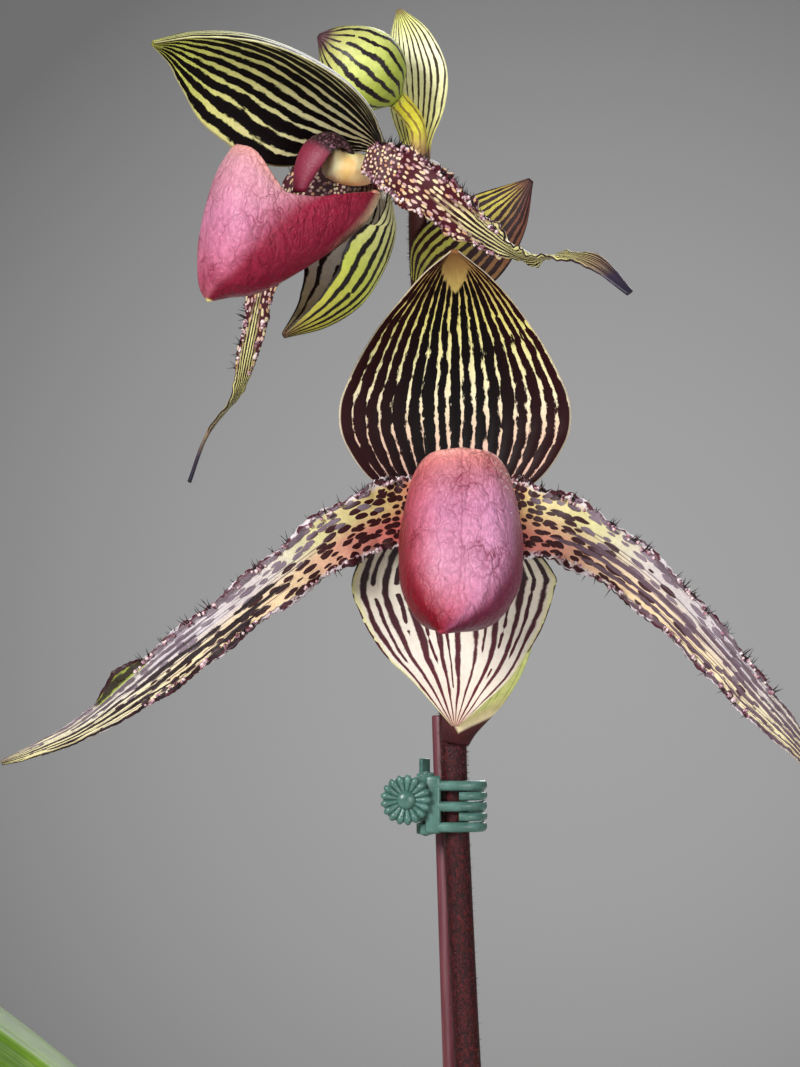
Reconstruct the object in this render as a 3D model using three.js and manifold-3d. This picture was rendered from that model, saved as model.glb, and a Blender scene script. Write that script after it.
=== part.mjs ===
// A potted slipper orchid with two open flowers and a bud on one stem.
// Millimetres, +Z up. The origin is the centre of the pot's flat base.
// The flower spray is seen from the front when looking along +Y.

import * as THREE from 'three';
import { ParametricGeometry } from 'three/addons/geometries/ParametricGeometry.js';
import { mergeGeometries, mergeVertices } from 'three/addons/utils/BufferGeometryUtils.js';
import Module from 'manifold-3d';

const wasm = await Module();
wasm.setup();

// Driving dimensions

const SEAT = 0.3;
const SHEET = 0.8;

const pot = {
  height: 125,
  baseRadius: 48,
  wall: 5,
  floor: 7,
  bodyTopRadius: 64.5,
  rimRadius: 70,
  rimHeight: 22,
  drainRadius: 5,
  drainRing: 25,
};

const medium = { top: 108, chips: 42, chipRing: 50 };

const crown = { x: 5, y: -4, bottom: 75, top: 150, halfLength: 13, halfDepth: 8.5 };

const stake = {
  radius: 1.75,
  foot: new THREE.Vector3(2.3, 10, 60),
  head: new THREE.Vector3(-6.1, 5.3, 326.3),
};

const frontFlower = { centre: new THREE.Vector3(-2, -20, 371), turn: 0, size: 1 };
const sideFlower = { centre: new THREE.Vector3(-20.8, -28, 441.5), turn: -63.9, size: 0.85 };

const clip = {
  hinge: new THREE.Vector3(-9.2, 0.6, 307.2),
  halfHeight: 6.6,
  wall: 1.4,
  fingerHeight: 1.9,
  frontFingers: [-4.9, -0.4, 4.1],
  backFingers: [-2.65, 1.85],
  frontHub: [4.2, 6.6],
  backHub: [2.1, 3.9],
  hubRadius: 2,
  boreRadius: 1,
  pinRadius: 0.7,
};

const daisy = { centre: new THREE.Vector3(-13.5, -4.4, 308.3), radius: 5.5, ridges: 17 };

// Random draws for the bark chips and the petals' warts

function seededRandom(seed) {
  let state = seed;
  return (low, high) => {
    state = (state * 1664525 + 1013904223) % 4294967296;
    return low + (high - low) * (state / 4294967296);
  };
}

// Joining and cutting closed meshes

function weld(pieces) {
  const bare = pieces.map((piece) => {
    const copy = piece.index ? piece.toNonIndexed() : piece.clone();
    copy.deleteAttribute('normal');
    copy.deleteAttribute('uv');
    return copy;
  });
  const merged = mergeVertices(mergeGeometries(bare), 1e-4);
  const corners = merged.index.array;
  const kept = [];
  for (let i = 0; i < corners.length; i += 3) {
    const [a, b, c] = corners.slice(i, i + 3);
    if (a !== b && b !== c && c !== a) kept.push(a, b, c);
  }
  merged.setIndex(kept);
  return facingOut(merged);
}

function facingOut(geometry) {
  const place = geometry.attributes.position;
  const order = Array.from(geometry.index.array);
  const [a, b, c] = [new THREE.Vector3(), new THREE.Vector3(), new THREE.Vector3()];
  let volume = 0;
  for (let i = 0; i < order.length; i += 3) {
    a.fromBufferAttribute(place, order[i]);
    b.fromBufferAttribute(place, order[i + 1]);
    c.fromBufferAttribute(place, order[i + 2]);
    volume += a.dot(b.cross(c));
  }
  if (volume < 0) {
    for (let i = 0; i < order.length; i += 3) {
      [order[i], order[i + 1]] = [order[i + 1], order[i]];
    }
    geometry.setIndex(order);
  }
  return geometry;
}

function solid(geometry) {
  const closed = weld([geometry]);
  return new wasm.Manifold(new wasm.Mesh({
    numProp: 3,
    vertProperties: new Float32Array(closed.attributes.position.array),
    triVerts: new Uint32Array(closed.index.array),
  }));
}

function surfaceOf(manifold) {
  const mesh = manifold.getMesh();
  const geometry = new THREE.BufferGeometry();
  geometry.setAttribute('position', new THREE.BufferAttribute(mesh.vertProperties, 3));
  geometry.setIndex(Array.from(mesh.triVerts));
  return geometry;
}

function fuse(geometries) {
  return surfaceOf(geometries.map(solid).reduce((whole, next) => whole.add(next)));
}

function cut(geometry, tools) {
  return surfaceOf(tools.map(solid).reduce((whole, tool) => whole.subtract(tool), solid(geometry)));
}

// Smooth curves through rows of numbers

function rowAt(rows, t) {
  const last = rows.length - 1;
  const place = Math.min(Math.max(t, 0), 1) * last;
  const i = Math.min(Math.floor(place), last - 1);
  const f = place - i;
  return rows[i].map((start, k) => {
    const end = rows[i + 1][k];
    const before = i > 0 ? rows[i - 1][k] : 2 * start - end;
    const after = i < last - 1 ? rows[i + 2][k] : 2 * end - start;
    const slopeIn = (end - before) / 2;
    const slopeOut = (after - start) / 2;
    return start + f * (slopeIn + f * (3 * (end - start) - 2 * slopeIn - slopeOut
      + f * (slopeIn + slopeOut - 2 * (end - start))));
  });
}

function pointAt(rows, t) {
  const [x, y, z] = rowAt(rows, t);
  return new THREE.Vector3(x, y, z);
}

function directionAt(rows, t) {
  const step = 0.004;
  const ahead = pointAt(rows, Math.min(t + step, 1));
  return ahead.sub(pointAt(rows, Math.max(t - step, 0))).normalize();
}

function acrossAt(rows, t, side, twist) {
  const along = directionAt(rows, t);
  const across = side.clone().addScaledVector(along, -side.dot(along)).normalize();
  return across.applyAxisAngle(along, THREE.MathUtils.degToRad(twist));
}

// Closed sheets: leaves, petals, bracts and pouches

function thicken(place, thickness, slices, stacks, shape) {
  const step = 0.002;
  const around = shape === 'cup';
  const normalAt = (u, v) => {
    const low = around ? Math.max(v, 0.02) : v;
    const u0 = around ? u - step : Math.max(u - step, 0);
    const u1 = around ? u + step : Math.min(u + step, 1);
    const alongU = place(u1, low).sub(place(u0, low));
    const alongV = place(u, Math.min(low + step, 1)).sub(place(u, Math.max(low - step, 0)));
    return alongU.cross(alongV).normalize();
  };
  const poleNormal = new THREE.Vector3();
  for (let i = 0; i < 8; i += 1) poleNormal.add(normalAt(i / 8, 0));
  poleNormal.normalize();
  const face = (sign) => (u, v, target) => {
    const turn = around ? u % 1 : u;
    const normal = around && v === 0 ? poleNormal : normalAt(turn, v);
    target.copy(place(turn, v)).addScaledVector(normal, sign * thickness / 2);
  };
  const front = new ParametricGeometry(face(1), slices, stacks);
  const back = new ParametricGeometry(face(-1), slices, stacks);
  const flipped = Array.from(back.index.array).reverse();
  back.setIndex(flipped);
  const border = around ? rimLoop(slices) : edgeLoop(slices, stacks);
  const rim = new ParametricGeometry((s, side, target) => {
    const [u, v] = border[Math.round(s * (border.length - 1))];
    face(side > 0.5 ? 1 : -1)(u, v, target);
  }, border.length - 1, 1);
  return weld([front, back, rim]);
}

function edgeLoop(slices, stacks) {
  const loop = [];
  for (let i = 0; i < slices; i += 1) loop.push([i / slices, 0]);
  for (let i = 0; i < stacks; i += 1) loop.push([1, i / stacks]);
  for (let i = slices; i > 0; i -= 1) loop.push([i / slices, 1]);
  for (let i = stacks; i > 0; i -= 1) loop.push([0, i / stacks]);
  loop.push([0, 0]);
  return loop;
}

function rimLoop(slices) {
  return Array.from({ length: slices + 1 }, (_, i) => [1 - i / slices, 1]);
}

// A blade follows rows of x, y, z, half width and, where it turns, a twist in degrees.
// cup lifts both edges to the front, waves and ruffle move the margins in and out.

function bladePlace(rows, form) {
  const { side, cup = 0, wave = 0, waves = 0, ruffle = 0, twist = 0 } = form;
  return (u, v) => {
    const across = 2 * u - 1;
    const [, , , halfWidth, turn = 0] = rowAt(rows, v);
    const width = Math.max(halfWidth, 0.5);
    const phase = 2 * Math.PI * waves * v + (across > 0 ? 0 : 1.9);
    const sideways = acrossAt(rows, v, side, twist + turn);
    const front = sideways.clone().cross(directionAt(rows, v));
    const margin = Math.abs(across) ** 2.5;
    const fade = Math.min(1, 4 * v) * Math.min(1, 1.4 * (1 - v));
    const open = Math.min(1, 0.15 + 3 * v);
    const lift = cup * open * width * across ** 2 + wave * margin * fade * Math.sin(phase);
    const reach = width * across * (1 + ruffle * margin * fade * Math.sin(phase + 1.2));
    return pointAt(rows, v).addScaledVector(sideways, reach).addScaledVector(front, lift);
  };
}

function blade(rows, form) {
  const { acrossSteps = 8, steps = 16, thickness = SHEET } = form;
  return thicken(bladePlace(rows, form), thickness, acrossSteps, steps, 'blade');
}

// A round stalk follows rows of x, y, z and radius, and is closed by flat ends.

function stalk(rows, { sides = 10, steps = 12, side = new THREE.Vector3(1, 0, 0), flat = 1 } = {}) {
  return weld([new ParametricGeometry((u, v, target) => {
    const ring = Math.min(Math.max(v * (steps + 2) - 1, 0), steps) / steps;
    const capped = v < 0.5 / (steps + 2) || v > 1 - 0.5 / (steps + 2);
    const radius = capped ? 0 : rowAt(rows, ring)[3];
    const turn = 2 * Math.PI * (u % 1);
    const across = acrossAt(rows, ring, side, 0);
    const depth = across.clone().cross(directionAt(rows, ring));
    target.copy(pointAt(rows, ring));
    target.addScaledVector(across, radius * Math.cos(turn));
    target.addScaledVector(depth, flat * radius * Math.sin(turn));
  }, sides, steps + 2)]);
}

// Strips and plates of the clip, drawn in plan and raised to a height

function raised(shape, low, high) {
  const geometry = new THREE.ExtrudeGeometry(shape, {
    depth: high - low,
    bevelEnabled: false,
    curveSegments: 12,
  });
  return geometry.translate(0, 0, low);
}

function stripShape(points, width, divisions = 9) {
  const middle = new THREE.SplineCurve(points.map(([x, y]) => new THREE.Vector2(x, y)));
  const left = [];
  const right = [];
  for (let i = 0; i <= divisions; i += 1) {
    const along = middle.getTangent(i / divisions);
    const out = new THREE.Vector2(-along.y, along.x).multiplyScalar(width / 2);
    const here = middle.getPoint(i / divisions);
    left.push(here.clone().add(out));
    right.push(here.clone().sub(out));
  }
  return new THREE.Shape([...left, ...right.reverse()]);
}

function upright(radius, low, high, sides = 16) {
  const cylinder = new THREE.CylinderGeometry(radius, radius, high - low, sides);
  return cylinder.rotateX(Math.PI / 2).translate(0, 0, (low + high) / 2);
}

// Pot and growing medium

function potInnerRadius(z) {
  const slope = (pot.bodyTopRadius - pot.baseRadius) / (pot.height - pot.rimHeight);
  return pot.baseRadius - pot.wall + slope * z;
}

function latheUpright(profile, sides) {
  const points = profile.map(([r, z]) => new THREE.Vector2(r, z));
  return new THREE.LatheGeometry(points, sides).rotateX(Math.PI / 2);
}

function potShape() {
  const rimBottom = pot.height - pot.rimHeight;
  const body = latheUpright([
    [0, 0],
    [pot.baseRadius - 2, 0],
    [pot.baseRadius, 2],
    [pot.bodyTopRadius, rimBottom],
    [pot.rimRadius - 1, rimBottom + 0.6],
    [pot.rimRadius, rimBottom + 3],
    [pot.rimRadius, pot.height - 3],
    [pot.rimRadius - 2, pot.height],
    [potInnerRadius(pot.height) + 1.5, pot.height],
    [potInnerRadius(pot.height - 2), pot.height - 2],
    [potInnerRadius(pot.floor + 2), pot.floor + 2],
    [potInnerRadius(pot.floor) - 2, pot.floor],
    [0, pot.floor],
  ], 32);
  const holes = [0, 1, 2].map((i) => {
    const turn = (2 * Math.PI * i) / 3;
    const hole = upright(pot.drainRadius, -1, pot.floor + 1, 12);
    return hole.translate(pot.drainRing * Math.cos(turn), pot.drainRing * Math.sin(turn), 0);
  });
  return cut(body, holes);
}

function barkChip(random) {
  const chip = new THREE.BoxGeometry(random(11, 18), random(7, 12), random(3, 5));
  chip.rotateX(random(-0.45, 0.45)).rotateY(random(-0.45, 0.45)).rotateZ(random(0, 3));
  const ring = medium.chipRing * Math.sqrt(random(0.02, 1));
  const turn = random(0, 2 * Math.PI);
  const place = [ring * Math.cos(turn), ring * Math.sin(turn), medium.top + random(-0.6, 1.2)];
  return chip.translate(...place);
}

function mediumShape() {
  const random = seededRandom(11);
  const gap = SEAT + 0.1;
  const body = latheUpright([
    [0, pot.floor + SEAT],
    [potInnerRadius(pot.floor) - 2 - gap, pot.floor + SEAT],
    [potInnerRadius(pot.floor + 3) - gap, pot.floor + 3],
    [potInnerRadius(medium.top) - gap, medium.top],
    [0, medium.top],
  ], 32);
  const chips = Array.from({ length: medium.chips }, () => barkChip(random));
  const crownHole = upright(1, crown.bottom - SEAT, pot.height + 20, 20);
  crownHole.scale(crown.halfLength + SEAT, crown.halfDepth + SEAT, 1);
  crownHole.translate(crown.x, crown.y, 0);
  const stakeHole = stakeRod(stake.radius + SEAT, -SEAT, 0);
  return cut(fuse([body, ...chips]), [crownHole, stakeHole]);
}

function stakeRod(radius, fromFoot, fromHead) {
  const along = stake.head.clone().sub(stake.foot);
  const rod = upright(radius, fromFoot, along.length() - fromHead, 12);
  const up = new THREE.Vector3(0, 0, 1);
  const turn = new THREE.Quaternion().setFromUnitVectors(up, along.normalize());
  return rod.applyQuaternion(turn).translate(stake.foot.x, stake.foot.y, stake.foot.z);
}

// Crown, leaves and flower stem

function crownShape() {
  const ratio = crown.halfDepth / crown.halfLength;
  const ring = (z, part) => [crown.x, crown.y, z, crown.halfLength * part];
  const rows = [
    ring(crown.bottom, 1),
    ring(94, 1),
    ring(113, 1),
    ring(132, 0.96),
    ring(143, 0.84),
    ring(crown.top, 0.6),
  ];
  return stalk(rows, { sides: 16, steps: 10, flat: ratio });
}

// Rows of x, y, z and half width. Odd leaves grow to the left and even ones to the right.

const leafRows = [
  [[-8.8, -4, 119, 6.5], [-30, -6, 144, 15], [-65, -10, 164, 20], [-108, -14, 170, 21],
    [-150, -18, 158, 18], [-182, -20, 138, 11], [-198, -20, 124, 1]],
  [[18.7, -4, 121.5, 6.5], [42, -1, 144, 15], [76, 3, 158, 20], [116, 7, 158, 20],
    [152, 10, 142, 16], [178, 12, 122, 9], [190, 12, 108, 1]],
  [[-8.6, -4, 127.5, 6.5], [-28, -1, 158, 15], [-58, 3, 192, 20], [-98, 8, 212, 21],
    [-140, 12, 213, 18], [-172, 14, 202, 11], [-190, 15, 192, 1]],
  [[18.5, -4, 130.5, 6.5], [38, -7, 163, 15], [66, -12, 195, 20], [104, -17, 211, 21],
    [144, -21, 209, 17], [174, -23, 195, 10], [190, -23, 184, 1]],
  [[-8, -4, 136, 6.5], [-24, -5, 172, 14, -4], [-49, -4, 212, 19, -10], [-84, 0, 243, 20, -20],
    [-119, 4, 268, 18, -24], [-150, 7, 288, 11, -16], [-172, 8, 292, 1, -8]],
  [[17.6, -4, 138.5, 6.5], [32, -2, 176, 14], [54, 2, 212, 18], [86, 6, 238, 19],
    [122, 9, 252, 16], [154, 11, 254, 10], [174, 12, 250, 1]],
  [[-6.4, -4, 144.5, 5], [-16, -6, 170, 10], [-28, -9, 200, 12], [-42, -12, 228, 8],
    [-52, -14, 245, 1]],
  [[15.9, -4, 146.5, 4.6], [22, -5, 168, 9], [31, -6, 192, 10], [42, -8, 214, 7],
    [51, -9, 228, 1]],
];

function leafShape(rows) {
  const complete = rows.map(([x, y, z, width, turn = 0]) => [x, y, z, width, turn]);
  const side = new THREE.Vector3(0, rows[1][0] < 0 ? -1 : 1, 0);
  return blade(complete, { side, cup: 0.28, thickness: 1.5, acrossSteps: 4, steps: 12 });
}

const stemRows = [
  [5, -4, 150.3, 3.2],
  [4.6, -3.4, 175, 3.0],
  [2.6, -1.6, 212, 2.9],
  [0, 0, 250, 2.85],
  [-2.4, 0, 299, 2.8],
  [-3, 0.1, 315, 2.8],
  [-3.3, 1, 325, 2.9],
  [-3.8, 3.6, 338, 2.4],
  [-5, 6.4, 358, 2.2],
  [-7, 7.4, 382, 2.1],
  [-9.2, 6.6, 406, 2.0],
  [-10.7, 5, 427, 2.1],
  [-11, 4, 447, 1.8],
];

// Flower parts, in the flower's own frame: +X to its left petal's far side as seen from the
// front, -Y forward out of its face, +Z up. The origin is where the parts meet.

const frontDorsalRows = [
  [-1, 2.6, 0.6, 6],
  [-1, 3.1, 6, 17.6],
  [-1, 4.5, 14, 23.6],
  [-1, 4.5, 22, 24.8],
  [-1, 3, 30, 22.3],
  [-1, -0.5, 38, 18],
  [-1, -5.5, 45, 12.6],
  [-1.2, -11.5, 50.5, 7],
  [-1.3, -17, 54.6, 0.8],
];

const sideDorsalRows = [
  [0, 3.1, 0.7, 4.5, 0],
  [0, 3, 7.5, 5, 0],
  [0, -4, 14.2, 15, 18],
  [0, -14, 20.8, 20.6, 25],
  [0, -26.5, 27.4, 20.6, 27],
  [0, -39.5, 31.6, 17.4, 28],
  [0, -51, 32.8, 9.4, 28],
  [0, -59.6, 31.4, 0.8, 28],
];

const frontSynsepalRows = [
  [-0.4, 2.6, -0.6, 6],
  [-1, 2.7, -7, 17],
  [-1.2, 4.6, -14, 21.8],
  [-0.9, 5.4, -20, 20.8],
  [-0.5, 6, -27, 17.8],
  [-0.2, 6.6, -34, 12.8],
  [-0.5, 7.2, -40.5, 6.6],
  [-0.9, 7.6, -46.5, 0.8],
];

const sideSynsepalRows = [
  [0, 3.1, -0.7, 4],
  [0, 5.2, -8, 6],
  [0, 5.6, -14.5, 9],
  [0, 2.2, -23.5, 12],
  [0, -4, -32, 11],
  [0, -13, -37.3, 7],
  [0, -24, -40, 0.8],
];

// The last number in a petal's row is its twist in degrees, for petals that turn over.

const frontLeftPetalRows = [
  [-0.9, 1.5, 0, 4, 0],
  [-6, 0.3, 0.6, 6.8, 0],
  [-12, -1.6, -0.4, 7.6, 0],
  [-24.1, -5, -4.7, 6.4, 0],
  [-36.2, -7, -13.2, 5.5, 0],
  [-48.9, -8, -23, 4.9, 0],
  [-60.6, -7, -32.1, 5, 0],
  [-70, -6, -39.4, 3.9, 0],
  [-81, -3, -46.9, 2.4, 0],
  [-91.9, 0, -51.9, 1.3, 0],
  [-98, 2, -54.1, 0.6, 0],
];

const frontRightPetalRows = [
  [0.9, 1.5, 0, 4, 0],
  [6, 0.3, 0.4, 7, 0],
  [12.8, -1.6, -1.7, 8, 0],
  [25.9, -5, -6, 6.6, 0],
  [40.6, -7, -16.4, 5.6, 0],
  [54.2, -7, -30.2, 4.7, 0],
  [62.5, -6, -39.8, 4.2, 0],
  [69.5, -4, -47.2, 3.2, 0],
  [75.5, -1, -54, 2, 0],
  [80.4, 2, -59.9, 0.6, 0],
];

const sideNearPetalRows = [
  [5.8, -4.4, 3.8, 2.6, 0],
  [8, -1.2, 2.4, 4.6, 0],
  [12.6, 2.2, -0.4, 5.6, 0],
  [23.8, 7.3, -7.7, 5.1, 0],
  [35.6, 9, -13.2, 4.6, 25],
  [46.7, 11.3, -18.1, 3.9, 55],
  [53, 12.7, -18.9, 2.7, 85],
  [59.8, 15.3, -19, 1.9, 115],
  [66.9, 18.4, -20.8, 2, 130],
  [73.4, 22.5, -26.9, 0.8, 130],
];

const sideFarPetalRows = [
  [-0.9, 1.5, 0.2, 3.5, 0],
  [-6, 0, 0.4, 4, 0],
  [-16, -0.9, 0, 5.6, 0],
  [-32.4, -2.4, -1.3, 5.2, 0],
  [-44.9, -0.6, -10, 4.6, 0],
  [-53.9, -0.9, -21.7, 3.4, -25],
  [-62.5, -0.3, -35.1, 2.3, -50],
  [-66.5, -1.4, -44.5, 1.3, -80],
  [-72, -6, -53.4, 1.1, -110],
  [-75.6, -8.8, -64, 0.6, -130],
];

function petalShape(rows, seed) {
  const random = seededRandom(seed);
  const toRight = rows[2][0] > 0;
  const form = {
    side: new THREE.Vector3(0, 0, toRight ? -1 : 1),
    cup: -0.08,
    wave: 1.1,
    waves: 9,
    ruffle: 0.1,
    acrossSteps: 5,
    steps: 28,
  };
  const place = bladePlace(rows, form);
  const growths = [];
  for (let i = 0; i < 7; i += 1) {
    for (const edge of [0.05, 0.95]) {
      const v = 0.12 + 0.075 * i + random(-0.015, 0.015);
      growths.push(...spineTuft(place, edge, v, random));
    }
  }
  return fuse([blade(rows, form), ...growths]);
}

function spineTuft(place, u, v, random) {
  const root = place(u, v);
  const outward = root.clone().sub(place(0.5, v)).normalize();
  return [-1, 1].map((lean) => {
    const spine = new THREE.ConeGeometry(0.36, 2.9, 3).translate(0, 0.85, 0);
    const aim = outward.clone();
    aim.x += lean * 0.35 + random(-0.2, 0.2);
    aim.y += random(-0.3, 0);
    const turn = new THREE.Quaternion();
    turn.setFromUnitVectors(new THREE.Vector3(0, 1, 0), aim.normalize());
    return spine.applyQuaternion(turn).translate(root.x, root.y, root.z);
  });
}

// The pouch is a cup of loops between its front keel and its back. Each row holds the
// forward and upward place of the keel and of the back, and the half width of the loop.

const pouchRows = [
  [48.4, -25.3, 48.4, -25.3, 0],
  [48.9, -22.2, 43.4, -24.9, 4.4],
  [48.3, -17.8, 35.5, -24.6, 8.7],
  [46.6, -10, 24, -20.4, 12],
  [43.4, -1, 13, -15.4, 12.6],
  [39.6, 6.5, 4.6, -9.8, 12.6],
  [35.4, 11.6, 0, -3.2, 12.2],
];

// The heights of the rim, from the keel round to the back.

const frontRimHeights = [[12.6], [10.9], [5], [-5.4], [-4.8], [-4.2], [-4.4], [-3.2]];
const sideRimHeights = [[11.8], [9.2], [-1.5], [-3.8], [-3.2], [-3.5], [-4.2], [-3.2]];

function pouchPlace(size, { nod: pitch, lean, rim }) {
  const nod = new THREE.Euler(THREE.MathUtils.degToRad(pitch), 0, 0);
  return (u, v) => {
    const [keelOut, keelUp, backOut, backUp, halfWidth] = rowAt(pouchRows, v);
    const turn = 2 * Math.PI * u;
    const [rimKeelOut, rimKeelUp, rimBackOut, rimBackUp] = pouchRows[pouchRows.length - 1];
    const around = Math.abs(1 - 2 * u);
    const ahead = Math.cos(turn);
    const out = (keelOut + backOut) / 2 + ((keelOut - backOut) / 2) * ahead;
    const plainRim = (rimKeelUp + rimBackUp) / 2 + ((rimKeelUp - rimBackUp) / 2) * ahead;
    const rimDip = rowAt(rim, 1 - around)[0] - plainRim;
    const up = (keelUp + backUp) / 2 + ((keelUp - backUp) / 2) * ahead + rimDip * v ** 5;
    const sine = Math.sin(turn);
    const side = Math.sign(sine) * halfWidth * Math.abs(sine) ** 0.66;
    const aside = side + lean * (1 - v) ** 4;
    return new THREE.Vector3(size * aside, -size * out, size * up).applyEuler(nod);
  };
}

function pouchShape(size, form) {
  return thicken(pouchPlace(size, form), SHEET, 20, 9, 'cup');
}

function columnShape(size) {
  const scaled = (rows) => rows.map((row) => row.map((value) => value * size));
  const side = new THREE.Vector3(1, 0, 0);
  const post = stalk([
    ...scaled([[0, 0.4, 1.2, 2.7], [0, -3, 1.8, 4], [0, -8, 2.6, 4.4], [0, -12, 3.6, 3.4]]),
  ], { sides: 10, steps: 6, side });
  const shield = blade(scaled([
    [0, -5, 3, 2],
    [0, -8, 8.4, 4.2],
    [0, -12.5, 10.2, 5.8],
    [0, -17, 8, 6.2],
    [0, -19.6, 3, 5.4],
    [0, -20.6, -4, 2.2],
  ]), { side, cup: 0.6, thickness: 1.6, acrossSteps: 6, steps: 9 });
  return fuse([post, shield]);
}

function scaleRows(rows, size) {
  return rows.map((row) => row.map((value, k) => (k < 4 ? value * size : value)));
}

// Ovaries, bracts and the bud, in the plant's frame

const frontOvaryRows = [
  [-3, -4, 327.4, 1.9],
  [-3, -4.8, 336, 2.3],
  [-2.8, -5.8, 347, 2.9],
  [-2.4, -8, 358, 3.3],
  [-2.1, -12.3, 367.5, 3.4],
  [-2, -15, 370.9, 3.4],
  [-2, -16.4, 371, 3.4],
];

const sideOvaryRows = [
  [-6.5, 5.4, 428.5, 1.9],
  [-5.8, 5.4, 434, 2.2],
  [-6.4, 2.6, 440.5, 2.5],
  [-7.6, -5, 443.4, 2.8],
  [-9.4, -14, 443.6, 3],
  [-12.4, -22.4, 442.3, 3],
  [-15.7, -25.3, 441.6, 3],
  [-17.5, -26.2, 441.5, 3],
];

const budOvaryRows = [
  [-11, 4, 447.4, 1.7],
  [-10.8, 3.8, 452, 1.9],
  [-11.8, 2.2, 456, 2.1],
  [-14.4, -0.3, 459.2, 2.2],
  [-15.6, -0.85, 460.3, 2.2],
];

const budRows = [
  [-15.9, -1, 460.6, 2.6],
  [-18.6, -2.1, 463, 7.2],
  [-22.2, -3.4, 466.2, 9.1],
  [-25.8, -4.7, 469.2, 8.1],
  [-29.3, -5.9, 471.8, 4.9],
  [-32.4, -7, 473.6, 0.6],
];

const frontBractRows = [
  [-2.8, -3.2, 320.5, 3],
  [-1.6, -6.2, 324.5, 4.4],
  [1.4, -9.4, 331, 6.6],
  [5, -11.4, 340, 7.8],
  [8.6, -12, 349.5, 6.4],
  [11, -11.6, 358.5, 3.4],
  [12, -11, 363.5, 0.6],
];

const sideBractRows = [
  [-10.2, 2.6, 419.6, 3.2],
  [-7, -0.7, 423.6, 8],
  [0, -1.8, 428.6, 9.6],
  [7.4, -1.6, 435.5, 6.6],
  [13.7, -0.6, 442.8, 0.6],
];

const budBractRows = [
  [-10.6, 6.6, 446.5, 2.6],
  [-11.4, 7.4, 452, 3.8],
  [-11.8, 7.8, 459, 6.6],
  [-12, 7.4, 467, 7.3],
  [-13.2, 6.2, 474.5, 5],
  [-15, 4.8, 480.4, 0.6],
];

function bractShape(rows, side, cup) {
  const form = { side, cup, thickness: 0.7, acrossSteps: 6, steps: 8 };
  return blade(rows, form);
}

// Clip: two jaws that close round the stem and the stake, hinged on an upright pin

function clipFinger(path, centre) {
  const half = clip.fingerHeight / 2;
  return raised(stripShape(path, clip.wall), centre - half, centre + half);
}

function mirroredSpans([low, high]) {
  return [[low, high], [-high, -low]];
}

function clipHub(low, high) {
  return upright(clip.hubRadius, low, high, 20);
}

// The jaws are drawn round the hinge as their own origin.

const frontFingerPath = [[2.2, -4.4], [6.4, -4.7], [10.2, -3.9], [12.4, -1.4], [12.6, 1.8]];
const backFingerPath = [[3.4, 8], [7.4, 7.6], [11.2, 5.6], [12.7, 1.8], [12.2, -2.6], [9.6, -4.6],
  [7.2, -4.6]];

function frontJawShape() {
  const high = clip.halfHeight;
  const plate = raised(stripShape([[-0.6, -4], [3.2, -4.5]], clip.wall, 2), -high, high);
  const lever = raised(stripShape([[-8, -5.2], [-4, -4.6], [0, -4]], clip.wall), -2.6, 4.6);
  const web = stripShape([[0, -1.4], [0, -3.8]], 2.4, 2);
  const hubs = mirroredSpans(clip.frontHub).flatMap(([low, top]) => (
    [clipHub(low, top), raised(web, low, top)]
  ));
  const fingers = clip.frontFingers.map((z) => clipFinger(frontFingerPath, z));
  const bore = upright(clip.boreRadius, -high - 1, high + 1, 16);
  const body = cut(fuse([plate, lever, ...hubs, ...fingers]), [bore]);
  const place = daisy.centre.clone().sub(clip.hinge);
  const disc = daisyShape().translate(place.x, place.y, place.z);
  return fuse([body, disc]);
}

function daisyShape() {
  // Rings of radius, depth and how far each ray stands out there.
  const rings = [[0, 0, 0], [0.9, 0, 0], [0.93, 0.9, 0.3], [0.76, 1.4, 0.6], [0.4, 1.2, 0.4],
    [0, 1.2, 0]];
  const disc = new ParametricGeometry((u, v, target) => {
    const turn = 2 * Math.PI * (u % 1);
    const ray = Math.abs(Math.cos((daisy.ridges * turn) / 2));
    const [ring, depth, relief] = rings[Math.round(v * (rings.length - 1))];
    const reach = daisy.radius * (ring + (relief > 0 ? 0.07 * ray : 0));
    target.set(reach * Math.cos(turn), -depth - relief * ray, reach * Math.sin(turn));
  }, daisy.ridges * 2, rings.length - 1);
  const dome = new THREE.SphereGeometry(2, 12, 6).scale(1, 0.6, 1).translate(0, -1.6, 0);
  return fuse([disc, dome]);
}

function backJawShape() {
  const high = clip.halfHeight;
  const plate = raised(stripShape([[-1.2, 5.6], [0.6, 6.8], [4, 8]], clip.wall, 4), -high, high);
  const lever = raised(stripShape([[-8, 7.2], [-4, 5.8], [-0.6, 5.8]], clip.wall), -2.6, 4.6);
  const web = stripShape([[-0.6, 1.4], [-0.9, 5.8]], 2, 2);
  const hubs = mirroredSpans(clip.backHub).flatMap(([low, top]) => (
    [clipHub(low, top), raised(web, low, top)]
  ));
  const pin = upright(clip.pinRadius, -high - 0.4, high + 0.4, 12);
  const fingers = clip.backFingers.map((z) => clipFinger(backFingerPath, z));
  const tab = raised(stripShape([[-1.2, 5.6], [0.8, 7]], 1.2, 2), high - 1, high + 3);
  return fuse([plate, lever, ...hubs, pin, ...fingers, tab]);
}

function springShape() {
  const turns = 3;
  const wire = 0.32;
  const inner = clip.pinRadius + SEAT;
  const outer = inner + 2 * wire;
  const low = -turns * wire;
  const points = [[inner, low], [inner, -low]];
  for (let i = turns; i > 0; i -= 1) {
    const top = low + 2 * wire * i;
    points.push([outer - 0.15, top], [outer, top - wire]);
  }
  points.push([outer - 0.15, low], [inner, low]);
  return weld([latheUpright(points, 12)]);
}

// Assembly

const orchid = new THREE.Group();

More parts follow.
